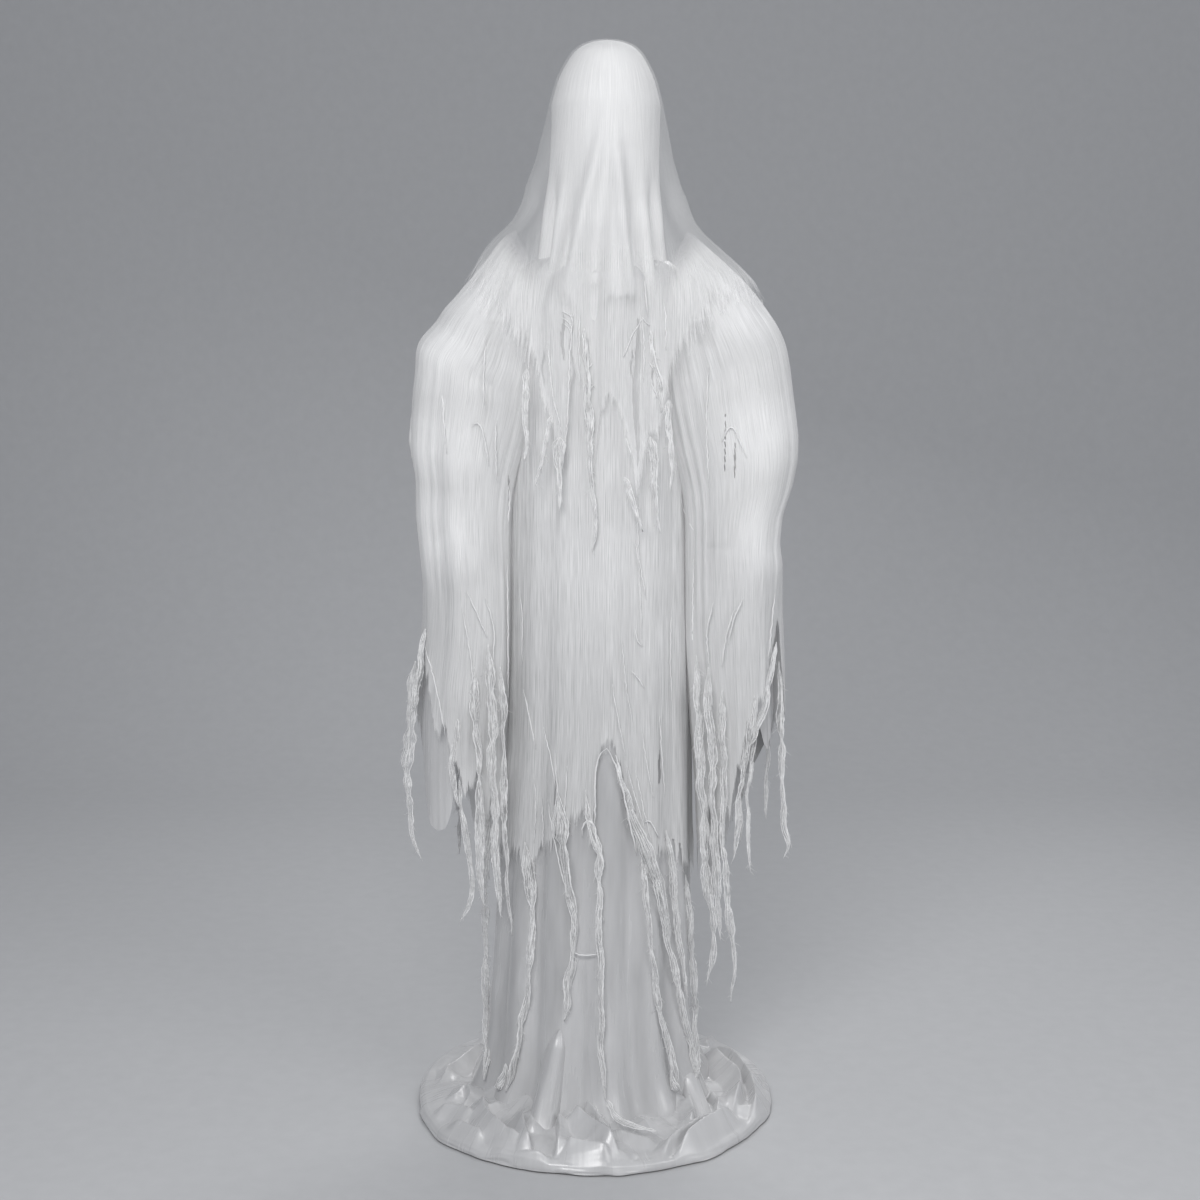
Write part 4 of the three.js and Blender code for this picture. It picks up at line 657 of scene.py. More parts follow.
def veil_point(angle, run, out=0.0):
    """Points of the veil: an oval at the head that widens to a flat front over the shoulders."""
    z = veil_z_run(run)
    lift = veil_fold(angle, z) + out
    a = np.radians(angle)
    middle = veil_x(z)
    wide = smooth((1.60 - z) / 0.03)
    outline = np.where(np.sin(a) < 0, shoulder_half[-1](z) + middle, shoulder_half[1](z) - middle)
    width = (1 - wide) * veil_w_run(run) + wide * outline
    depth = veil_d_run(run) + np.where(np.cos(a) < 0, 0.008 * smooth((1.54 - z) / 0.08), 0)
    power = 2 + 1.1 * smooth((1.57 - z) / 0.07)
    reach = (abs(np.sin(a) / width) ** power + abs(np.cos(a) / depth) ** power) ** (-1 / power) + lift
    return np.stack([middle + reach * np.sin(a), -reach * np.cos(a), z - 0.25 * abs(lift) * (z > 1.7)], axis=-1)


def on_veil(points, clear):
    """Puts (x, z) marks on the veil's front, or on its back with clear below 0."""
    side = 1 if clear > 0 else -1
    return [tuple(veil_point(np.array(math.degrees(math.atan2(x - float(veil_x(z)), side * 0.119))),
                             np.array(float(run_at_z(z))), abs(clear))) for x, z in points]


def build_veil():
    cols, rows = ((600, 170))
    angles = column_angles(cols)
    hem = torn(angles, VEIL_HEM, 15, 100, 0.008)
    run, angle = down_from(0.003, run_at_z(hem), rows, angles)
    z = veil_z_run(run)
    front = smooth((75 - abs(angle)) / 20)
    sides = smooth((abs(np.sin(np.radians(angle))) - 0.8) / 0.15)
    out = crinkle(angle, (1.83 - z), 31, 0.0012) * (0.25 + 0.75 * smooth((1.56 - z) / 0.25))
    out = out + 0.003 * front * smooth((hem[None, :] + 0.04 - z) / 0.04)
    out = out - 0.006 * sides * smooth((hem[None, :] + 0.05 - z) / 0.05)
    holes = slit_test(VEIL_SLITS, lambda t: np.clip(1 - abs(2 * t - 1.15) ** 2.2, 0, 1), drift=0.0018)
    fade = 1 - 0.58 * smooth((abs(gap(angles, 0)) - 38) / 8)
    sheet = grid_sheet("veil_cloth", veil_point(angle, run, out), holes=holes, close_top=True, fade=fade)
    return dress(sheet, "veil")


# Head under the veil, and the inner gauze layer that hangs straight from it

HEAD_CLEAR, HEAD_HALF, HEAD_FOOT = 0.0035, 0.088, 1.548
HOOD_HALF = curve([1.38, 1.44, 1.50, 1.57, 1.64, 1.70, 1.75], [0.114, 0.110, 0.101, 0.094, 0.091, 0.090, 0.092], 0.01)
HOOD_HEM = hem_table("-180,1400 -120,1420 -60,1410 0,1390 60,1410 120,1420 180,1400")


def build_head():
    cols, rows = ((128, 90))
    run = np.linspace(0.004, run_at_z(HEAD_FOOT), rows)[:, None]
    angle = np.broadcast_to(column_angles(cols), (rows, cols))
    z = veil_z_run(run) + 0 * angle
    a = np.radians(angle)
    neck = smooth((1.70 - z) / 0.14)
    under = veil_w_run(run) - HEAD_CLEAR
    width = under - (veil_w_run(run) - HEAD_HALF) * smooth((1.76 - z) / 0.05)
    width = np.where(z > 1.74, under, np.minimum(width, under)) - 0.016 * neck
    depth = np.minimum(veil_d_run(run) - 0.010, HEAD_HALF) - 0.014 * neck
    x = veil_x(z) + np.maximum(width, 0.001) * np.sin(a)
    y = -np.maximum(depth, 0.001) * np.cos(a)
    return dress(grid_sheet("head_form", np.stack([x, y, z - 0.004], axis=-1), close_top=True), "head")


def build_hood():
    cols, rows = ((260, 110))
    angle = column_angles(cols)
    run, angle = down_from(0.004, run_at_z(torn(angle, HOOD_HEM, 61, 60, 0.010)), rows, angle)
    z = veil_z_run(run)
    a = np.radians(angle)
    lift = veil_fold(angle, z) - 0.001 * smooth(run / 0.05)
    narrow = smooth((1.775 - z) / 0.05)
    inside = 0.97 * veil_w_run(run)
    width = (1 - narrow) * inside + narrow * np.minimum(HOOD_HALF(z), inside)
    depth = np.minimum(0.95 * veil_d_run(run), 0.088 + 0.026 * smooth((1.64 - z) / 0.20))
    x = veil_x(z) + (width + lift) * np.sin(a)
    y = -(depth + lift) * np.cos(a)
    return dress(grid_sheet("hood_lining", np.stack([x, y, z - 0.002], axis=-1), close_top=True), "hood")


# Sleeves: outer and inner edge in the XZ plane, from the neck to the cuff, half depth against the share of the run,
# hems (angle, height; 0 is the outer side, 90 the front, 180 the inner side), and slits (x, low, high, half width)

SLEEVES = {
    "left": ("""
-138,1526 -152,1517 -170,1501 -192,1470 -219,1438 -247,1408 -264,1390 -271,1376 -287,1361 -302,1345 -309.5,1328
-310,1300 -317,1255 -322,1200 -323,1165 -316,1110 -317,1050 -311,985 -306,930 -307,870 -312,820 -322,760 -326,700
-326,600 -326,380""", """
-105,1455 -101,1430 -98,1405 -97,1375 -97,1345 -98,1315 -99,1295 -100,1280 -101,1260 -103,1245 -105,1230 -108,1215
-113,1190 -121,1155 -131,1120 -140,1080 -144,1030 -144,975 -144,925 -145,870 -147,820 -150,760 -154,700 -160,600
-165,380"""),
    "right": ("""
144,1525 156,1517 174,1502 210,1470 246,1438 269,1409 284,1388 295,1373 311,1343 318,1312 323,1275 327,1245 331,1215
335,1185 334,1145 325,1100 309,1050 306,1000 311,965 310,900 312,840 315,760 317,700 318,600 318,380""", """
105,1455 101,1430 98,1405 97,1375 97,1345 98,1315 99,1295 100,1280 101,1260 103,1245 105,1230 108,1215 113,1190
121,1155 131,1120 140,1080 145,1030 145,985 146,940 147,870 150,820 155,760 160,700 167,600 172,380"""),
}
SLEEVE_DEPTH = numbers("""
0,45 0.05,75 0.1,92 0.18,100 0.3,96 0.42,86 0.6,79 0.8,76 1,72""", 2)
SLEEVE_HEM = {
    "left": hem_table("""
0,720 8,700 16,740 24,790 34,800 46,760 58,700 68,660 76,690 84,640 94,600 104,570 114,600 124,500 136,560 148,450
160,520 172,420 184,460 198,360 212,420 226,380 240,440 254,470 268,540 284,600 300,560 316,660 334,620 348,700
360,720"""),
    "right": hem_table("""
0,710 7,700 13,760 20,840 30,830 42,790 56,740 68,700 76,670 82,700 90,640 98,590 108,540 118,580 130,480 142,540
154,430 166,500 178,400 192,440 208,370 224,400 240,400 256,450 270,500 286,560 300,640 316,620 334,680 348,660
360,710"""),
}
LINING_HEM = {
    "left": hem_table("""
0,680 12,660 20,620 30,550 40,515 56,505 70,510 80,540 86,600 92,700 100,740 120,700 150,640 180,600 215,560 250,600
290,580 330,640 360,680"""),
    "right": hem_table("""
0,720 12,700 22,670 34,645 44,655 56,690 70,700 88,660 104,600 118,520 136,400 148,330 158,325 168,360 180,460
215,520 250,560 290,580 330,660 360,720"""),
}
SLEEVE_SLITS = {
    "left": [(-0.152, 1.07, 1.13, 0.0010)],
    "right": [(0.2055, 1.12, 1.24, 0.0009), (0.222, 1.12, 1.18, 0.0013)],
}
LINING_TOP = 1.0


class Sleeve:
    def __init__(self, side):
        outer, inner = (numbers(text, 2) / MM for text in SLEEVES[side])
        run = run_along((outer + inner) / 2)
        self.length = run[-1]
        self.ox, self.oz = curve(run, outer[:, 0], 0.007), curve(run, outer[:, 1], 0.009)
        self.ix, self.iz = curve(run, inner[:, 0], 0.020), curve(run, inner[:, 1], 0.020)
        share, depth = SLEEVE_DEPTH.T
        self.depth = curve(share * self.length, depth / MM, 0.03)
        self.box = curve([0, 0.30 * self.length, 0.46 * self.length, self.length], [0.40, 0.40, 0.52, 0.60], 0.03)
        self.seed = {"left": 51, "right": 71}[side]
        self.sign = {"left": -1, "right": 1}[side]

    def point(self, turn, run, out=0.0):
        """turn is 0 on the outer side, 90 in front, 180 on the inner side and 270 behind."""
        a = np.radians(turn)
        cx, cz = (self.ox(run) + self.ix(run)) / 2, (self.oz(run) + self.iz(run)) / 2
        hx, hz = (self.ox(run) - self.ix(run)) / 2, (self.oz(run) - self.iz(run)) / 2
        half = np.hypot(hx, hz)
        grow = (half + out) / half
        sine = np.sin(a)
        y = -(self.depth(run) + out) * np.sign(sine) * abs(sine) ** self.fullness(run, -np.cos(a))
        return np.stack([cx + hx * grow * np.cos(a) + 0 * y, y, cz + hz * grow * np.cos(a) + 0 * y], axis=-1)

    def fullness(self, run, inward):
        """The power that rounds the section: the side towards the chest is squarer at the shoulder."""
        return 0.92 + (self.box(run) - 0.92) * smooth(0.5 + 0.8 * inward)

    def folds(self, turn, run):
        u, v = turn / 360, run / self.length
        low = smooth((run - 0.08) / 0.35)
        deep = value_noise(u, v * 0.6, 13, 5, self.seed) * 0.0075 * low
        fine = value_noise(u, v * 0.5, 60, 5, self.seed + 1) * 0.0016
        return deep + fine + value_noise(u, v, 16, 60, self.seed + 2) * 0.0012 * (1 - low)

    def front(self, x, z, clear):
        """The place on the sleeve's front at a given x and height, clear of it."""
        run = float(self.run_to(z))
        middle, half = float(self.ox(run) + self.ix(run)) / 2, abs(float(self.ox(run) - self.ix(run))) / 2
        share = np.clip((x - middle) / half, -0.985, 0.985)
        power = 0.5 * float(self.fullness(run, -share * self.sign))
        return (x, -(float(self.depth(run)) + clear) * (1 - share ** 2) ** power, z)

    def run_to(self, height):
        """The run at which the sleeve's middle line reaches a height."""
        fine = np.linspace(0, self.length, 800)
        return np.interp(-height, -(self.oz(fine) + self.iz(fine)) / 2, fine)


def build_sleeve(side, shape):
    cols, rows = ((340, 190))
    turn = np.linspace(0, 360, cols, endpoint=False)
    u = turn / 360
    level = np.interp(turn, *SLEEVE_HEM[side].T)
    level = level + 0.014 * edge_noise(u, 70, shape.seed + 5) + 0.008 * edge_noise(u, 150, shape.seed + 6)
    run, turn = down_from(0, shape.run_to(level), rows, turn)
    points = shape.point(turn, run, shape.folds(turn, run))
    holes = slit_test(SLEEVE_SLITS[side], lambda t: np.clip(1 - abs(2 * t - 1) ** 2.0, 0, 1), -0.02)
    return dress(grid_sheet(f"{side}_sleeve_cloth", points, holes=holes), "sleeve")


def build_lining(side, shape):
    cols, rows = ((220, 90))
    turn = np.linspace(0, 360, cols, endpoint=False)
    level = np.interp(turn, *LINING_HEM[side].T)
    top = shape.run_to(LINING_TOP)
    run, turn = down_from(top, shape.run_to(blur(level, cols / 160)), rows, turn)
    soft = value_noise(turn / 360, run / shape.length * 0.6, 9, 5, shape.seed + 9) * 0.006
    out = soft + shape.folds(turn, run) * 0.4 - 0.015 - 0.02 * smooth((top + 0.05 - run) / 0.05)
    return dress(grid_sheet(f"{side}_lining", shape.point(turn, run, out)), "lining")


# Satin on the base: a round cloth over the board, pooled in folds

BASE_X, BASE_HALF = -0.012, 0.314
BOARD_RADIUS = 0.300
EDGE_Z = 0.0130
SKIRT_W, SKIRT_D = 0.182, 0.160
BOX_FOOT = [corner[:2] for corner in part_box("control_housing")]

# Its folds: points (x, y); height, half width, and how much it leans to one side
BASE_FOLDS = rows_of("""
-205,-100 -196,-175 -160,-235 -110,-275 | 20 12 0.6; -132,-180 -128,-235 -112,-285 | 26 10 0.8; -72,-185 -66,-240
-72,-290 | 22 9 -0.8; -185,-262 -140,-287 -80,-296 | 20 12 0.5; -56,-175 -22,-220 10,-262 36,-296 | 30 11 0.8;
-30,-165 -6,-200 4,-245 | 24 11 -0.3; -66,-262 -30,-280 26,-296 | 18 13 0.4; 20,-215 50,-240 98,-256 | 8 10 0;
125,-286 148,-246 198,-186 236,-140 | 26 10 0.5; 98,-292 116,-258 166,-200 214,-152 | 18 8 -0.6; 196,100 214,30
250,-30 246,-90 222,-150 | 30 11 0.7; 206,150 250,70 274,-40 268,-150 250,-190 | 20 10 -0.4; 150,-120 162,-170
150,-215 | 22 9 0.7; 186,-90 205,-120 200,-160 | 18 9 -0.5; -290,-10 -245,65 -205,130 | 20 10 0.7; -285,-110
-245,-135 -210,-170 | 12 12 0.3; -240,-40 -222,-100 -240,-150 | 12 10 -0.5; -255,-170 -220,-200 -190,-235 | 10 10
0.5; -180,190 -100,240 -20,250 | 22 12 0.6; 20,215 90,240 160,200 | 20 12 -0.5; -150,240 -190,200 -230,160 | 16 11
0.4""")


def along(points, x, y):
    """Distance from each place to a line of points, signed across it, and how far along it lies, from 0 to 1."""
    points = np.array(points, float)
    best = np.full(x.shape, 1e9)
    side, where = np.zeros(x.shape), np.zeros(x.shape)
    lengths = np.linalg.norm(np.diff(points, axis=0), axis=1)
    total, done = lengths.sum(), 0.0
    for (ax, ay), (bx, by), length in zip(points[:-1], points[1:], lengths):
        tx, ty = (bx - ax) / length, (by - ay) / length
        t = np.clip((x - ax) * tx + (y - ay) * ty, 0, length)
        dx, dy = x - ax - t * tx, y - ay - t * ty
        d = np.hypot(dx, dy)
        near = d < best
        best = np.where(near, d, best)
        side = np.where(near, np.sign(dx * ty - dy * tx), side)
        where = np.where(near, (done + t) / total, where)
        done += length
    return best * side, where


def clear_of_box(x, y):
    """0 on the control box and 1 well away from it: the folds stop short of it."""
    low, high = BOX_FOOT
    dx = np.maximum(np.maximum(low[0] - x, x - high[0]), 0)
    dy = np.maximum(np.maximum(low[1] - y, y - high[1]), 0)
    return smooth((np.hypot(dx, dy) - 0.004) / 0.030)


def crumples(count, seed):
    """Short random creases all round the base, as (points, height, half width, lean)."""
    rng = np.random.RandomState(seed)
    lines = []
    for k in range(count):
        a = 2 * math.pi * (k + rng.uniform(0, 1)) / count
        r = rng.uniform(0.205, 0.285)
        turn = a + rng.uniform(-1.2, 1.2)
        half = rng.uniform(0.025, 0.045)
        x, y = r * math.sin(a), -r * math.cos(a)
        dx, dy = half * math.cos(turn), half * math.sin(turn)
        middle = (x + rng.uniform(-1, 1) * 0.006, y + rng.uniform(-1, 1) * 0.006)
        size = rng.uniform(0.005, 0.010), rng.uniform(0.010, 0.016), rng.uniform(-0.9, 0.9)
        lines.append(([(x - dx, y - dy), middle, (x + dx, y + dy)], *size))
    return lines


def base_height(x, y):
    total = np.zeros(x.shape)
    folds = [(marks(path), height / MM, width / MM, lean) for path, (height, width, lean) in BASE_FOLDS]
    for points, height, width, lean in folds + crumples(22, 5):
        d, t = along(spline(points, 24), x, y)
        wide = 1.7 * width * np.where(d * lean > 0, 1 + 0.9 * abs(lean), 1 - 0.78 * abs(lean))
        ends = smooth(t / 0.25 + 0.10) * smooth((1 - t) / 0.25 + 0.10)
        fold = 1.25 * height * np.maximum(0, 1 - abs(d) / wide) * ends
        total = np.maximum(total, fold) + 0.2 * np.minimum(total, fold)
    return total


def pooled(x, y):
    """The satin heaped against the foot of the skirt."""
    x = x - float(robe_x(0.1))
    a = np.arctan2(x, -y)
    u = (np.degrees(a) + 180) / 360
    skirt = np.hypot(SKIRT_W * np.sin(a), SKIRT_D * np.cos(a))
    heap = 0.026 + 0.020 * edge_noise(u, 19, 97) + 0.008 * edge_noise(u, 47, 99)
    reach = 0.032 + 0.012 * edge_noise(u, 13, 98)
    return heap * np.exp(-np.maximum(np.hypot(x, y) - skirt, -0.02) / reach)


def build_base_cloth():
    cols, rows = ((640, 150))
    angle = column_angles(cols)
    u = (angle + 180) / 360
    sine = BASE_X * np.sin(np.radians(angle))
    board = -sine + np.sqrt(BOARD_RADIUS ** 2 - BASE_X ** 2 + sine ** 2)
    rim = BASE_HALF - 0.002 + 0.006 * edge_noise(u, 14, 91) + 0.0025 * edge_noise(u, 40, 92)
    rim = np.maximum(rim, board + 0.003)
    share = np.linspace(0, 1, rows)[:, None]
    # The rows up to the share flat lie on the board, and the others hang over its edge
    inner, flat = 0.13, 0.88
    radius = inner + (rim[None, :] - inner) * np.clip(share / flat, 0, 1)
    drop = np.clip((share - flat) / (1 - flat), 0, 1)
    u = np.broadcast_to(u, radius.shape)
    a = np.radians(np.broadcast_to(angle, radius.shape))
    x, y = BASE_X + radius * np.sin(a), -radius * np.cos(a)
    inside = rim[None, :] - radius
    edge = smooth(inside / 0.016)
    clear = clear_of_box(x, y)
    wave = 0.0030 * value_noise(u, radius / 0.35, 26, 10, 93) + 0.0012 * value_noise(u, radius / 0.35, 70, 24, 95)
    lift = (base_height(x, y) * (0.35 + 0.65 * edge) + wave * edge + pooled(x, y) * edge) * clear
    z = EDGE_Z + 0.0065 * np.sqrt(np.clip(inside / 0.008, 0, 1)) + 0.0085 * smooth(inside / 0.06) * clear + lift
    puff = 0.0035 * value_noise(u, 0 * drop, 44, 1, 94) + 0.0015 * value_noise(u, drop, 90, 3, 96)
    out = 0.001 * np.sin(np.pi * drop) + (0.002 + np.maximum(puff, -0.001)) * drop
    x, y = x + out * np.sin(a), y - out * np.cos(a)
    last = EDGE_Z + base_height(x, y) * 0.35 * clear_of_box(x, y)
    z = np.where(share > flat, last * (1 - drop) + 0.003 * drop, z)
    return dress(grid_sheet("base_satin", np.stack([x, y, z], axis=-1)), "base_satin")


# Satin tongues that stand up from the heap: foot (x, y), top (x, z), half width
TONGUES = [
    ((-0.098, -0.206), (-0.069, 0.186), 0.021), ((0.170, -0.150), (0.150, 0.085), 0.018),
    ((-0.070, 0.205), (-0.060, 0.10), 0.024), ((0.080, 0.200), (0.074, 0.085), 0.024),
]
TONGUE_FOOT = 0.030


def build_tongues():
    group = []
    rows, cols = ((46, 34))
    for n, ((fx, fy), (tx, tz), half) in enumerate(TONGUES):
        front = -1 if fy < 0 else 1
        angle = math.asin(np.clip((tx - float(robe_x(tz))) / float(robe_w(tz)), -1, 1))
        ty = front * (float(robe_d(tz)) + 0.008) * math.cos(angle)
        t = np.linspace(0, 1, rows)[:, None]
        s = np.linspace(-1, 1, cols)[None, :]
        wide = half * np.sqrt(np.clip(1 - (1 - np.clip(t / 0.26, 0, 1)) ** 2, 0.02, 1)) * (0.92 + 0.35 * t ** 2)
        x = tx + (fx - tx) * t + wide * s
        z = tz + (TONGUE_FOOT - tz) * t ** 0.85 + 0 * s
        swell = (1 - s ** 4) * smooth(t / 0.15) * half * 0.42 - 0.012 * abs(s) ** 3
        crease = 0.0018 * value_noise((s + 1) / 2 * 0.9, t + 0 * s, 7, 3, 140 + n)
        y = ty + (fy - ty) * t ** 1.5 + front * (swell + crease)
        sheet = grid_sheet(f"satin_fold_{n + 1}", np.stack([x, y, z], axis=-1), ring=False)
        group.append(dress(sheet, "base_satin"))
    return group


# Strands: twisted shreds of gauze that hang from the torn hems, and raised threads. In their tables each row holds
# marks (x, z), for the sleeves also the place in Y, then half widths along the strand, and its knots; the rows of
# threads hold marks and the radius

def strand(threads, path, widths, seed, knots=1, fibres=8):
    """A torn, twisted strip of gauze: a loose net between two rolled edges, pinched at knots, with loose threads."""
    rng = np.random.RandomState(seed)
    path = np.array(path, float)
    length = np.linalg.norm(np.diff(path, axis=0), axis=1).sum()
    count = max(10, int(length / (0.0042)))
    line = spline(path, count)
    t = np.linspace(0, 1, count)

    def wave(least, spacing, step, shift=0.0):
        return value_noise(t * 0.97 + shift, t * 0, max(least, int(length / spacing)), 1, seed + step)

    def jitter(shape, size):
        return rng.uniform(-1, 1, shape) * size

    loose = smooth(t * 6)
    line[:, 0] += 0.0030 * wave(3, 0.035, 0) * loose
    line[:, 1] += 0.0016 * wave(3, 0.035, 1, 0.01) * loose
    half = np.interp(t, np.linspace(0, 1, len(widths)), widths)
    half = half * (1 + 0.16 * wave(4, 0.018, 2)) * smooth(t * 9 + 0.18) * smooth((1 - t) * 9 + 0.22)
    for k in rng.uniform(0.12, 0.93, knots):
        half = half * (1 - 0.45 * bump(t - k, 0.007 / length))
    side, other = sides_along(line)
    turn = (1.15 * wave(2, 0.11, 3) + 0.35 * wave(3, 0.03, 4)) * loose
    across = np.cos(turn)[:, None] * side + np.sin(turn)[:, None] * other
    out = -np.sin(turn)[:, None] * side + np.cos(turn)[:, None] * other
    j = np.linspace(-1, 1, 7)
    curl = 0.45 + 0.35 * wave(2, 0.05, 5)
    rows = line[:, None] + half[:, None, None] * (
        j[None, :, None] * across[:, None] + ((1 - j ** 2)[None, :] * curl[:, None])[..., None] * out[:, None])
    rows = rows + jitter(rows.shape, np.minimum(0.0005, half * 0.08)[:, None, None])
    threads.strip(rows, rng.uniform(0, 1))
    fade = np.interp(t, [0, 0.08, 0.9, 1], [0.25, 1.0, 0.95, 0.35])
    for k in (0, -1):
        rough = 1 + 0.35 * wave(5, 0.007, 8 + k)
        threads.cord(rows[:, k] + jitter((count, 3), 0.0003), 0.0009 * fade * rough)
    # Long threads that wander down the strip
    for k in range(4 + int(max(widths) / 0.0028)):
        spacing = rng.uniform(0.04, 0.11)
        wander = np.clip(rng.uniform(-0.75, 0.75) + 0.8 * wave(2, spacing, 20 + k), -1, 1)
        inner = line + half[:, None] * (wander[:, None] * across + ((1.0 - wander ** 2) * curl + 0.12)[:, None] * out)
        threads.cord(inner + jitter((count, 3), 0.00025), rng.uniform(0.0004, 0.0007) * fade, 4)
    # Short loose ends along its edges
    for k in range(fibres + int(length / 0.012)):
        a = rng.uniform(0.03, 1.0)
        root = np.array([np.interp(a, t, rows[:, rng.choice([0, -1]), i]) for i in range(3)])
        reach = rng.uniform(0.003, 0.009)
        way = np.array([rng.choice([-1, 1]) * rng.uniform(0.4, 1), rng.uniform(-0.6, 0.2), -rng.uniform(0.0, 1.1)])
        way /= np.linalg.norm(way)
        s = np.linspace(0, 1, 5)[:, None]
        hook = np.array([rng.uniform(-0.5, 0.5), 0, -0.5]) * s ** 2 * reach
        threads.cord(root + way * s * reach + hook, np.linspace(0.0004, 0.00025, 5), 3)


def thread_line(threads, path, radius, seed):
    """One raised, slightly kinked thread on the cloth."""
    rng = np.random.RandomState(seed)
    path = np.array(path, float)
    length = np.linalg.norm(np.diff(path, axis=0), axis=1).sum()
    count = max(6, int(length / 0.006))
    line = spline(path, count) + rng.uniform(-1, 1, (count, 3)) * 0.0007
    ends = smooth(np.minimum(np.arange(count), np.arange(count)[::-1]) / (0.2 * count)) * 0.7 + 0.3
    threads.cord(line, radius * ends)


OVERDRESS_STRANDS = """
-190,530 -200,470 -202,420 -205,364 -206,291 -201,216 -204,142 -199,104 -204,60 | 6 11 9 10 7 9 7 8 9 | 2; -128,500
-120,450 -116,404 -116,344 -119,275 -125,223 -137,183 -135,158 -152,109 -162,66 | 10 14 10 4 8 9 6 10 8 9 11 | 2;
-72,600 -67,550 -60,500 -55,440 -47,396 -45,360 -48,311 -53,268 -57,235 -59,205 | 6 13 20 18 11 8 10 11 9 5 | 1;
-24,600 -20,559 -10,516 0,479 0,431 -2,387 0,329 0,274 2,209 0,151 6,100 10,75 | 3 6 9 7 6 7 6 6.5 6 5 4 | 3; 26,660
45,583 55,550 75,500 91,455 102,405 | 2 6 9 14 17 9 | 0; 70,480 75,430 80,382 87,322 97,258 106,194 120,130 134,70 |
4 7 7 6 7 6 7 8 | 2; 94,470 100,420 109,367 120,312 131,248 140,201 153,142 164,93 169,68 | 10 14 11 9 8 7 8 7 9 | 2;
112,520 120,470 125,448 134,359 141,286 149,214 | 3 6 7 6 5 3 | 1; 148,430 154,374 158,311 164,246 164,204 172,171
168,132 170,97 164,62 | 4 6 5 6 8 7 6 8 10 | 2; 130,66 124,95 118,130 | 10 6 3 | 0; -176,62 -168,85 -160,110 | 10 7 3
| 0"""
OVERDRESS_BACK_STRANDS = """
-148,500 -156,400 -160,280 -166,160 -176,60 | 14 12 8 10 7 9 | 3; -85,470 -90,360 -86,240 -94,120 | 20 15 10 6 4 | 3;
-30,500 -36,380 -30,260 -34,160 -30,64 | 12 9 8 7 6 6 | 3; 30,460 36,340 34,230 40,150 | 18 13 9 5 4 | 3; 88,500
96,360 98,220 108,110 112,64 | 15 12 9 10 7 7 | 3; 140,460 150,340 156,220 | 10 7 4 | 3"""
OVERDRESS_THREADS = """
-130,760 -118,710 -108,660 | 1; 56,1020 72,950 76,920 | 1; 58,870 62,850 70,840 | 0.9; 52,800 66,785 74,770 | 0.9;
-95,700 -80,640 -74,600 | 1; -88,579 -81,528 -67,463 -48,395 | 1.3; -75,660 -72,600 -64,540 | 0.9; -55,640 -58,590
-62,540 | 0.9; 10,671 2,666 -5,650 -8,620 -8,584 -9,540 | 1.6; 10,671 18,664 26,643 36,609 50,542 62,485 | 1.8;
-30,520 -30,540 -22,550 -10,543 -7,530 -5,516 0,491 8,474 3,460 | 1.8; 45,640 60,580 76,530 | 1; 60,630 72,570 88,500
| 0.9; 70,700 78,640 90,580 | 0.9; 20,780 30,720 44,650 | 0.9; 36,860 42,780 56,700 | 0.8; 74,540 84,545 92,530
100,510 | 1.3; -48,325 -36,317 -22,317 -2,322 | 1.2; 62,1100 63,1000 68,900 70,840 | 0.8; 100,720 104,660 110,580 |
0.9; -135,930 -130,880 -132,800 | 0.8; 120,900 118,820 121,740 | 0.8; -112,620 -108,560 -112,500 | 0.8; -100,580
-95,530 -98,490 | 0.8"""
SLEEVE_STRANDS = {
    "left": """
-316,800 -322,750 -327,700 -332,640 -333,585 -326,540 -329,490 -312,447 | -30 | 6 12 13 14 14 12 11 5 2 | 4; -246,720
-246,670 -252,620 -249,575 -243,555 | -78 | 6 8 7 6 3 | 1; -240,600 -236,540 -231,500 -224,450 -219,400 -242,345 |
-66 | 4 7 7 5 6 2 | 2; -212,800 -210,720 -208,640 -204,550 -206,470 -200,380 | -80 | 8 11 11 9 10 8 4 | 3; -188,840
-184,760 -182,660 -180,560 -177,460 -172,360 | -84 | 6 11 10 9 10 7 4 | 3; -168,800 -164,720 -162,620 -163,530
-160,440 -157,380 -152,327 | -80 | 6 10 8 9 7 6 2 | 3; -296,860 -305,810 -312,760 -316,720 | -50 | 3 6 8 6 | 0;
-200,640 -206,500 -200,380 | 66 | 12 9 7 3 | 3; -250,660 -256,540 -250,430 | 62 | 12 9 6 2 | 3; -295,700 -300,580
-296,500 | 44 | 10 7 3 | 2""",
    "right": """
306,800 307,750 309,700 314,640 315,570 322,500 330,475 318,450 | -30 | 4 5 8 11 7 6 7 6 2 | 3; 268,680 258,610
252,530 256,470 262,434 | -56 | 4 5 5 4 1 | 2; 162,820 164,740 170,640 175,550 180,460 188,400 196,340 200,290
184,236 | -80 | 6 10 10 9 11 12 10 8 3 | 3; 182,800 184,720 190,620 195,540 200,460 204,400 208,320 | -84 | 6 11 10
11 9 10 8 3 | 3; 206,760 208,680 212,600 210,520 215,450 221,390 228,330 233,260 227,205 | -78 | 6 10 9 6 8 10 9 5 2
| 3; 262,760 252,690 243,620 237,540 232,460 | -70 | 5 10 9 8 4 | 2; 298,840 290,770 272,700 258,660 | -66 | 3 7 8 6
| 1; 200,640 206,480 202,360 | 66 | 12 9 7 3 | 3; 248,660 254,550 250,450 | 62 | 12 9 6 2 | 3; 290,700 296,590
292,500 | 44 | 10 7 3 | 2""",
}
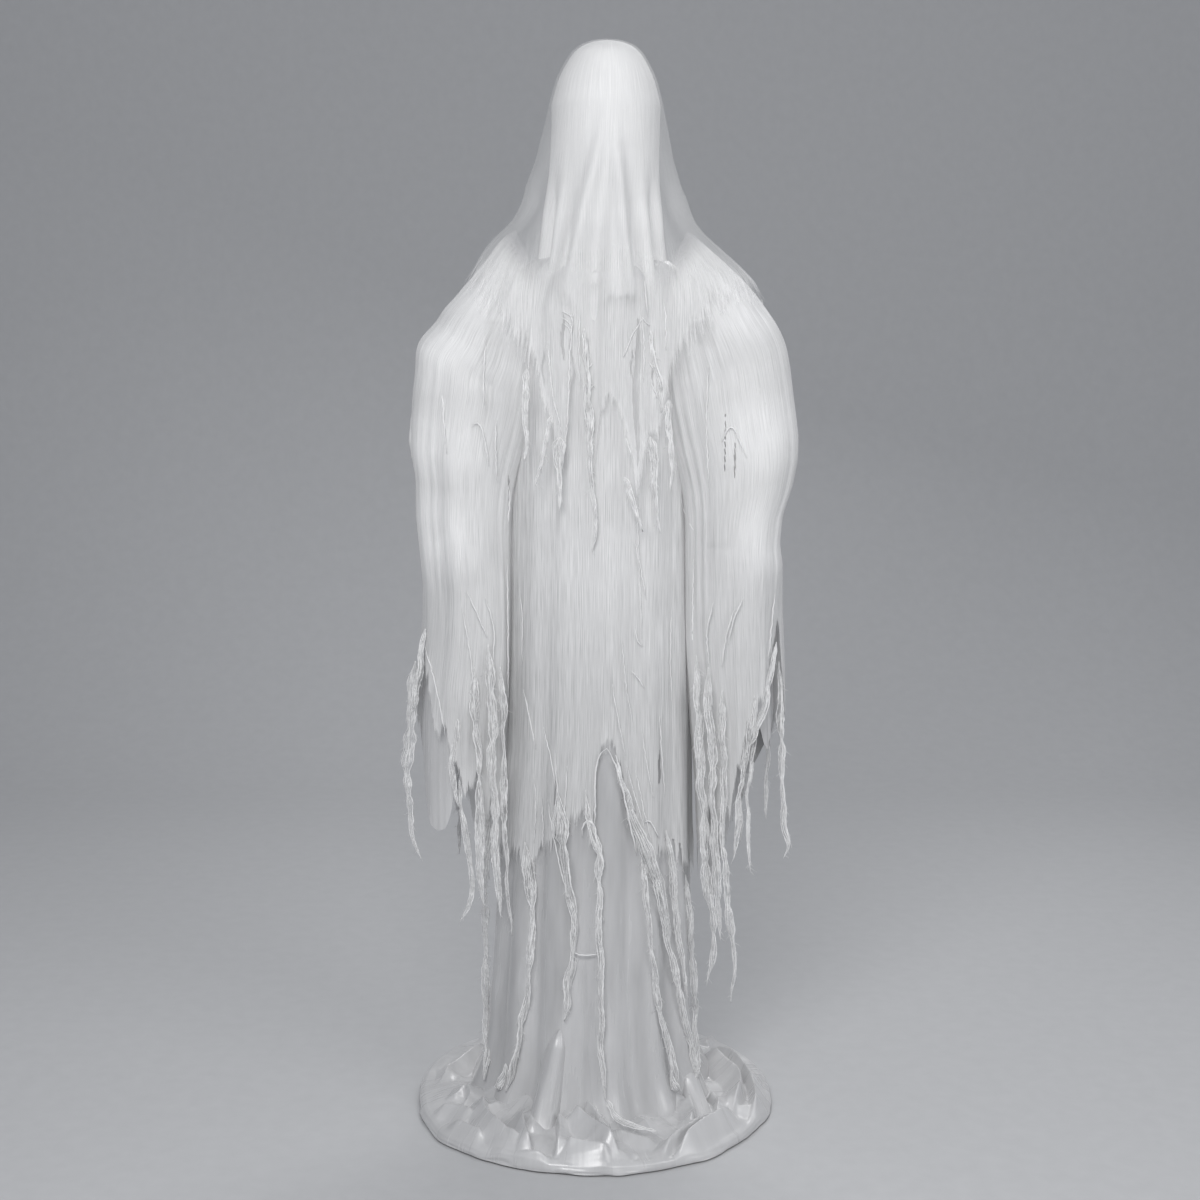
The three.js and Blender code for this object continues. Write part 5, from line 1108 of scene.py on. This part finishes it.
SLEEVE_THREADS = {
    "left": """
-186,1345 -190,1290 -189,1240; -170,1215 -172,1160 -170,1110; -210,1205 -198,1215 -190,1190 -183,1140; -152,1105
-150,1080 -154,1040; -222,930 -206,890 -190,850; -262,1360 -260,1260 -252,1160; -192,920 -176,860 -182,800; -156,980
-155,860 -157,740; -230,900 -215,800 -212,740; -298,830 -276,760 -262,680""",
    "right": """
177,1305 174,1240 176,1170 181,1100; 200,1180 215,1215 240,1155; 131,1100 140,1060 156,1030; 260,1420 262,1330
262,1260; 270,1410 276,1330 272,1240; 281,1370 298,1330 316,1290; 225,900 212,860 205,800; 157,980 156,860 160,760;
190,910 178,860 184,800; 295,920 290,860 285,810; 240,920 222,880 216,840""",
}
VEIL_SHREDS = """
-61.1,1190 -60,1140 -58.8,1100 -61.1,1070 | 12 7 3 1.5; -71.5,1225 -80.3,1180 -92.8,1135 -98.6,1110 | 5 4 3 1.5;
-17.7,1250 -16.4,1190 -12.6,1130 -8.7,1085 -6.1,1040 -12.6,1000 | 7 7 5 4 3 1.2; 36.5,1125 46.6,1090 56.4,1060
61.2,1035 | 4 4 3 1.2; 79.7,1190 86.3,1130 92.7,1075 94.7,1030 | 8 5 3 1.2; -26.7,1365 -22.9,1310 -20.3,1260 -19,1200
| 3 4 4 3; 82,1360 88.5,1310 94.7,1280 100.8,1230 | 3 4 4 2; -114.4,1300 -117.5,1220 -116,1150 | 7 4 1.5; 108.4,1250
112,1170 110.2,1100 | 7 4 1.5"""
VEIL_BACK_SHREDS = """
34,1180 31.4,1090 36.5,1030 | 10 6 2; -80.3,1180 -78.2,1090 -82.5,1020 | 10 6 2; 90.6,1200 88.5,1110 92.7,1050 | 10 5
2; -22.9,1190 -20.3,1100 -25.4,1040 | 9 5 2"""
VEIL_THREADS = """
-78.2,1345 -73.7,1280 -69.2,1250 -57.6,1195 | 1.1; -41.8,1390 -46.7,1335 -48,1260 -50.4,1200 -55.2,1165 | 1.1;
-57.6,1392 -45.5,1385 -41.8,1370 | 0.9; -57.6,1382 -48,1375 -43,1362 | 0.8; -55.2,1372 -48,1366 -44.3,1352 | 0.8;
61.2,1380 46.6,1352 36.5,1318 | 1.1; 61.2,1380 66,1340 64.8,1280 | 1; 61.2,1382 73,1372 79.7,1368 | 1; 70.6,1440
69.5,1410 75.2,1385 | 0.8; 106.5,1405 108.4,1380 107.4,1360 106.5,1330 | 1.1; 39,1190 44.1,1170 46.6,1160 | 1;
-33,1395 -34.3,1340 -31.8,1290 | 0.9; -22.9,1315 -17.7,1300 -12.6,1310 | 0.8; -20.3,1275 -15.2,1265 -10,1275 | 0.8;
-22.9,1235 -15.2,1225 | 0.8; 77.5,1310 84.2,1300 88.5,1305 | 0.9; 82,1275 90.6,1262 94.7,1250 | 0.9"""
# One strand that trails from the skirt over the base
TRAIL = [(0.012, -0.192, 0.078), (0.020, -0.206, 0.062), (0.035, -0.222, 0.054), (0.060, -0.236, 0.050),
         (0.092, -0.246, 0.047)]


def build_overdress_strands():
    group = Threads()
    for text, clear, seed in ((OVERDRESS_STRANDS, 0.010, 100), (OVERDRESS_BACK_STRANDS, -0.010, 200)):
        for n, (path, widths, knots) in enumerate(rows_of(text)):
            strand(group, on_robe(marks(path), clear), 0.8 * (widths / MM), seed + 7 * n, int(knots[0]))
    for n, (path, radius) in enumerate(rows_of(OVERDRESS_THREADS)):
        thread_line(group, on_robe(marks(path), 0.0095), radius[0] / MM, 300 + n)
    strand(group, TRAIL, (0.005, 0.004, 0.004, 0.002), 321, 2)
    return group.build("overdress_strands")


def build_sleeve_strands(side, shape):
    group = Threads()
    for n, (path, y, widths, knots) in enumerate(rows_of(SLEEVE_STRANDS[side])):
        path = [(x, y[0] / MM, z) for x, z in marks(path)]
        strand(group, path, 0.72 * (widths / MM), 400 + 31 * n + shape.seed, int(knots[0]))
    for n, (path,) in enumerate(rows_of(SLEEVE_THREADS[side])):
        thread_line(group, [shape.front(x, z, 0.004) for x, z in marks(path)], 0.0012, 700 + 13 * n + shape.seed)
    return group.build(f"{side}_sleeve_strands")


def build_veil_shreds():
    group = Threads()
    for text, clear, seed in ((VEIL_SHREDS, 0.004, 900), (VEIL_BACK_SHREDS, -0.004, 980)):
        for n, (path, widths) in enumerate(rows_of(text)):
            strand(group, on_veil(marks(path), clear), widths / MM, seed + 11 * n, fibres=4)
    for n, (path, radius) in enumerate(rows_of(VEIL_THREADS)):
        thread_line(group, on_veil(marks(path), 0.003), radius[0] / MM, 1100 + n)
    return group.build("veil_shreds")


# Padding of the arms: a small cloth simulation puffs the stuffed forms

PUFF_FRAMES, PUFF_LIMIT = 20, 0.004


def build_padding(side):
    node = frame["nodes"][f"{side}_arm_padding"]
    layer = bpy.context.view_layer
    obj = add_object(f"{side}_stuffing", node.data.copy())
    obj.matrix_world = node.matrix_world.copy()
    layer.update()
    obj.data.transform(obj.matrix_world)
    obj.matrix_world.identity()
    layer.update()
    layer.objects.active = obj
    remesh = obj.modifiers.new("remesh", "REMESH")
    remesh.mode = "VOXEL"
    remesh.voxel_size = 0.006
    bpy.ops.object.modifier_apply(modifier="remesh")
    start = np.array([v.co for v in obj.data.vertices])
    cloth = obj.modifiers.new("cloth", "CLOTH")
    cloth.settings.use_pressure = True
    cloth.settings.uniform_pressure_force = 4.0
    cloth.settings.effector_weights.gravity = 0.0
    cloth.settings.quality = 4
    cloth.point_cache.frame_start, cloth.point_cache.frame_end = 1, PUFF_FRAMES
    for number in range(1, PUFF_FRAMES + 1):
        bpy.context.scene.frame_set(number)
    bpy.ops.object.modifier_apply(modifier="cloth")
    bpy.context.scene.frame_set(1)
    moved = np.array([v.co for v in obj.data.vertices]) - start
    far = np.linalg.norm(moved, axis=1)
    moved *= (np.minimum(far, PUFF_LIMIT) / np.maximum(far, 1e-9))[:, None]
    obj.data.vertices.foreach_set("co", (start + moved).astype(np.float32).ravel())
    obj.data.polygons.foreach_set("use_smooth", [True] * len(obj.data.polygons))
    return dress(obj, "padding")


robe = build_robe()
overdress = build_overdress()
veil = build_veil()
head = build_head()
hood = build_hood()
base_cloth = build_base_cloth()
tongues = build_tongues()
left_shape, right_shape = Sleeve("left"), Sleeve("right")
left_sleeve, right_sleeve = build_sleeve("left", left_shape), build_sleeve("right", right_shape)
left_lining, right_lining = build_lining("left", left_shape), build_lining("right", right_shape)
hem_strands = build_overdress_strands()
sleeve_strands = {"left": build_sleeve_strands("left", left_shape), "right": build_sleeve_strands("right", right_shape)}
veil_strands = build_veil_shreds()
left_padding, right_padding = build_padding("left"), build_padding("right")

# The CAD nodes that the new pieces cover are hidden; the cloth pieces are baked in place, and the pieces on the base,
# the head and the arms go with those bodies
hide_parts("skirt", "bodice")
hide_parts("overdress")
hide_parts("veil", "cape")
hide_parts("left_sleeve")
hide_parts("right_sleeve")
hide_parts("base_cloth")
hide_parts("head_shell_front", "head_shell_back")
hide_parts("left_arm_padding")
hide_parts("right_arm_padding")

for piece in (robe, overdress, hem_strands):
    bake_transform(piece)
for piece in (veil, hood, veil_strands):
    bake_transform(piece)
for side, pieces in (("left", (left_sleeve, left_lining, sleeve_strands["left"])),
                     ("right", (right_sleeve, right_lining, sleeve_strands["right"]))):
    for piece in pieces:
        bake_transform(piece)
for piece in (base_cloth, *tongues):
    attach(piece, "base")
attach(head, "head")
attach(left_padding, "arms")
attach(right_padding, "arms")


# Stage: pale floor that curves up into a backdrop, soft light, camera at the photo's angle

def build_stage():
    m = Finish("pale_floor")
    grain = m.noise(m.place(), 30.0)
    inputs = {"Base Color": m.colours(grain, (0.50, 0.505, 0.515), (0.52, 0.525, 0.535)),
              "Roughness": 0.85, "Specular IOR Level": 0.1}
    m.feed(m.nodes["Principled BSDF"], inputs)
    t = np.linspace(0, 1, 40)
    bend = np.clip(t - 0.5, 0, 0.5) * np.pi
    y = np.where(t < 0.5, -4.5 + t * 2 * 6.5, 2.0 + 1.5 * np.sin(bend))
    z = np.where(t < 0.5, 0.0, 1.5 * (1 - np.cos(bend)))
    y = np.concatenate([y, np.full(8, 3.5)])
    z = np.concatenate([z, np.linspace(1.9, 5.5, 8)])
    x = np.linspace(-5, 5, 24)
    points = np.stack(np.broadcast_arrays(x[None, :], y[:, None], z[:, None]), axis=-1)
    floor = grid_sheet("backdrop", points, ring=False)
    floor.data.materials.append(m.material)
    return floor


def turned_to(obj, place, target):
    obj.location = place
    obj.rotation_euler = (Vector(target) - Vector(place)).to_track_quat("-Z", "Y").to_euler()
    return obj


def area_light(name, place, target, size, power):
    data = bpy.data.lights.new(name, "AREA")
    data.shape = "RECTANGLE"
    data.size, data.size_y = size
    data.energy = power
    return turned_to(add_object(name, data), place, target)


backdrop = build_stage()
key = area_light("key_light", (-0.55, -2.95, 3.0), (0, 0, 1.35), (1.8, 1.8), 86)
fill = area_light("fill_light", (2.4, -2.2, 1.9), (0, 0, 1.0), (1.8, 1.8), 28)
rim = area_light("rim_light", (0.6, 2.0, 2.9), (0, 0, 1.3), (1.8, 1.0), 36)

world = bpy.data.worlds.new("soft_world")
bpy.context.scene.world = world
world.use_nodes = True
world.node_tree.nodes["Background"].inputs["Color"].default_value = (0.9, 0.93, 1.0, 1)
world.node_tree.nodes["Background"].inputs["Strength"].default_value = 0.32

camera_data = bpy.data.cameras.new("camera")
camera_data.lens = 54.81
camera_data.sensor_width = 36.0
camera = turned_to(add_object("camera", camera_data), (0, -3.1, 1.402), (0, 0, 0.901))
bpy.context.scene.camera = camera

bpy.context.scene.view_settings.view_transform = "Standard"
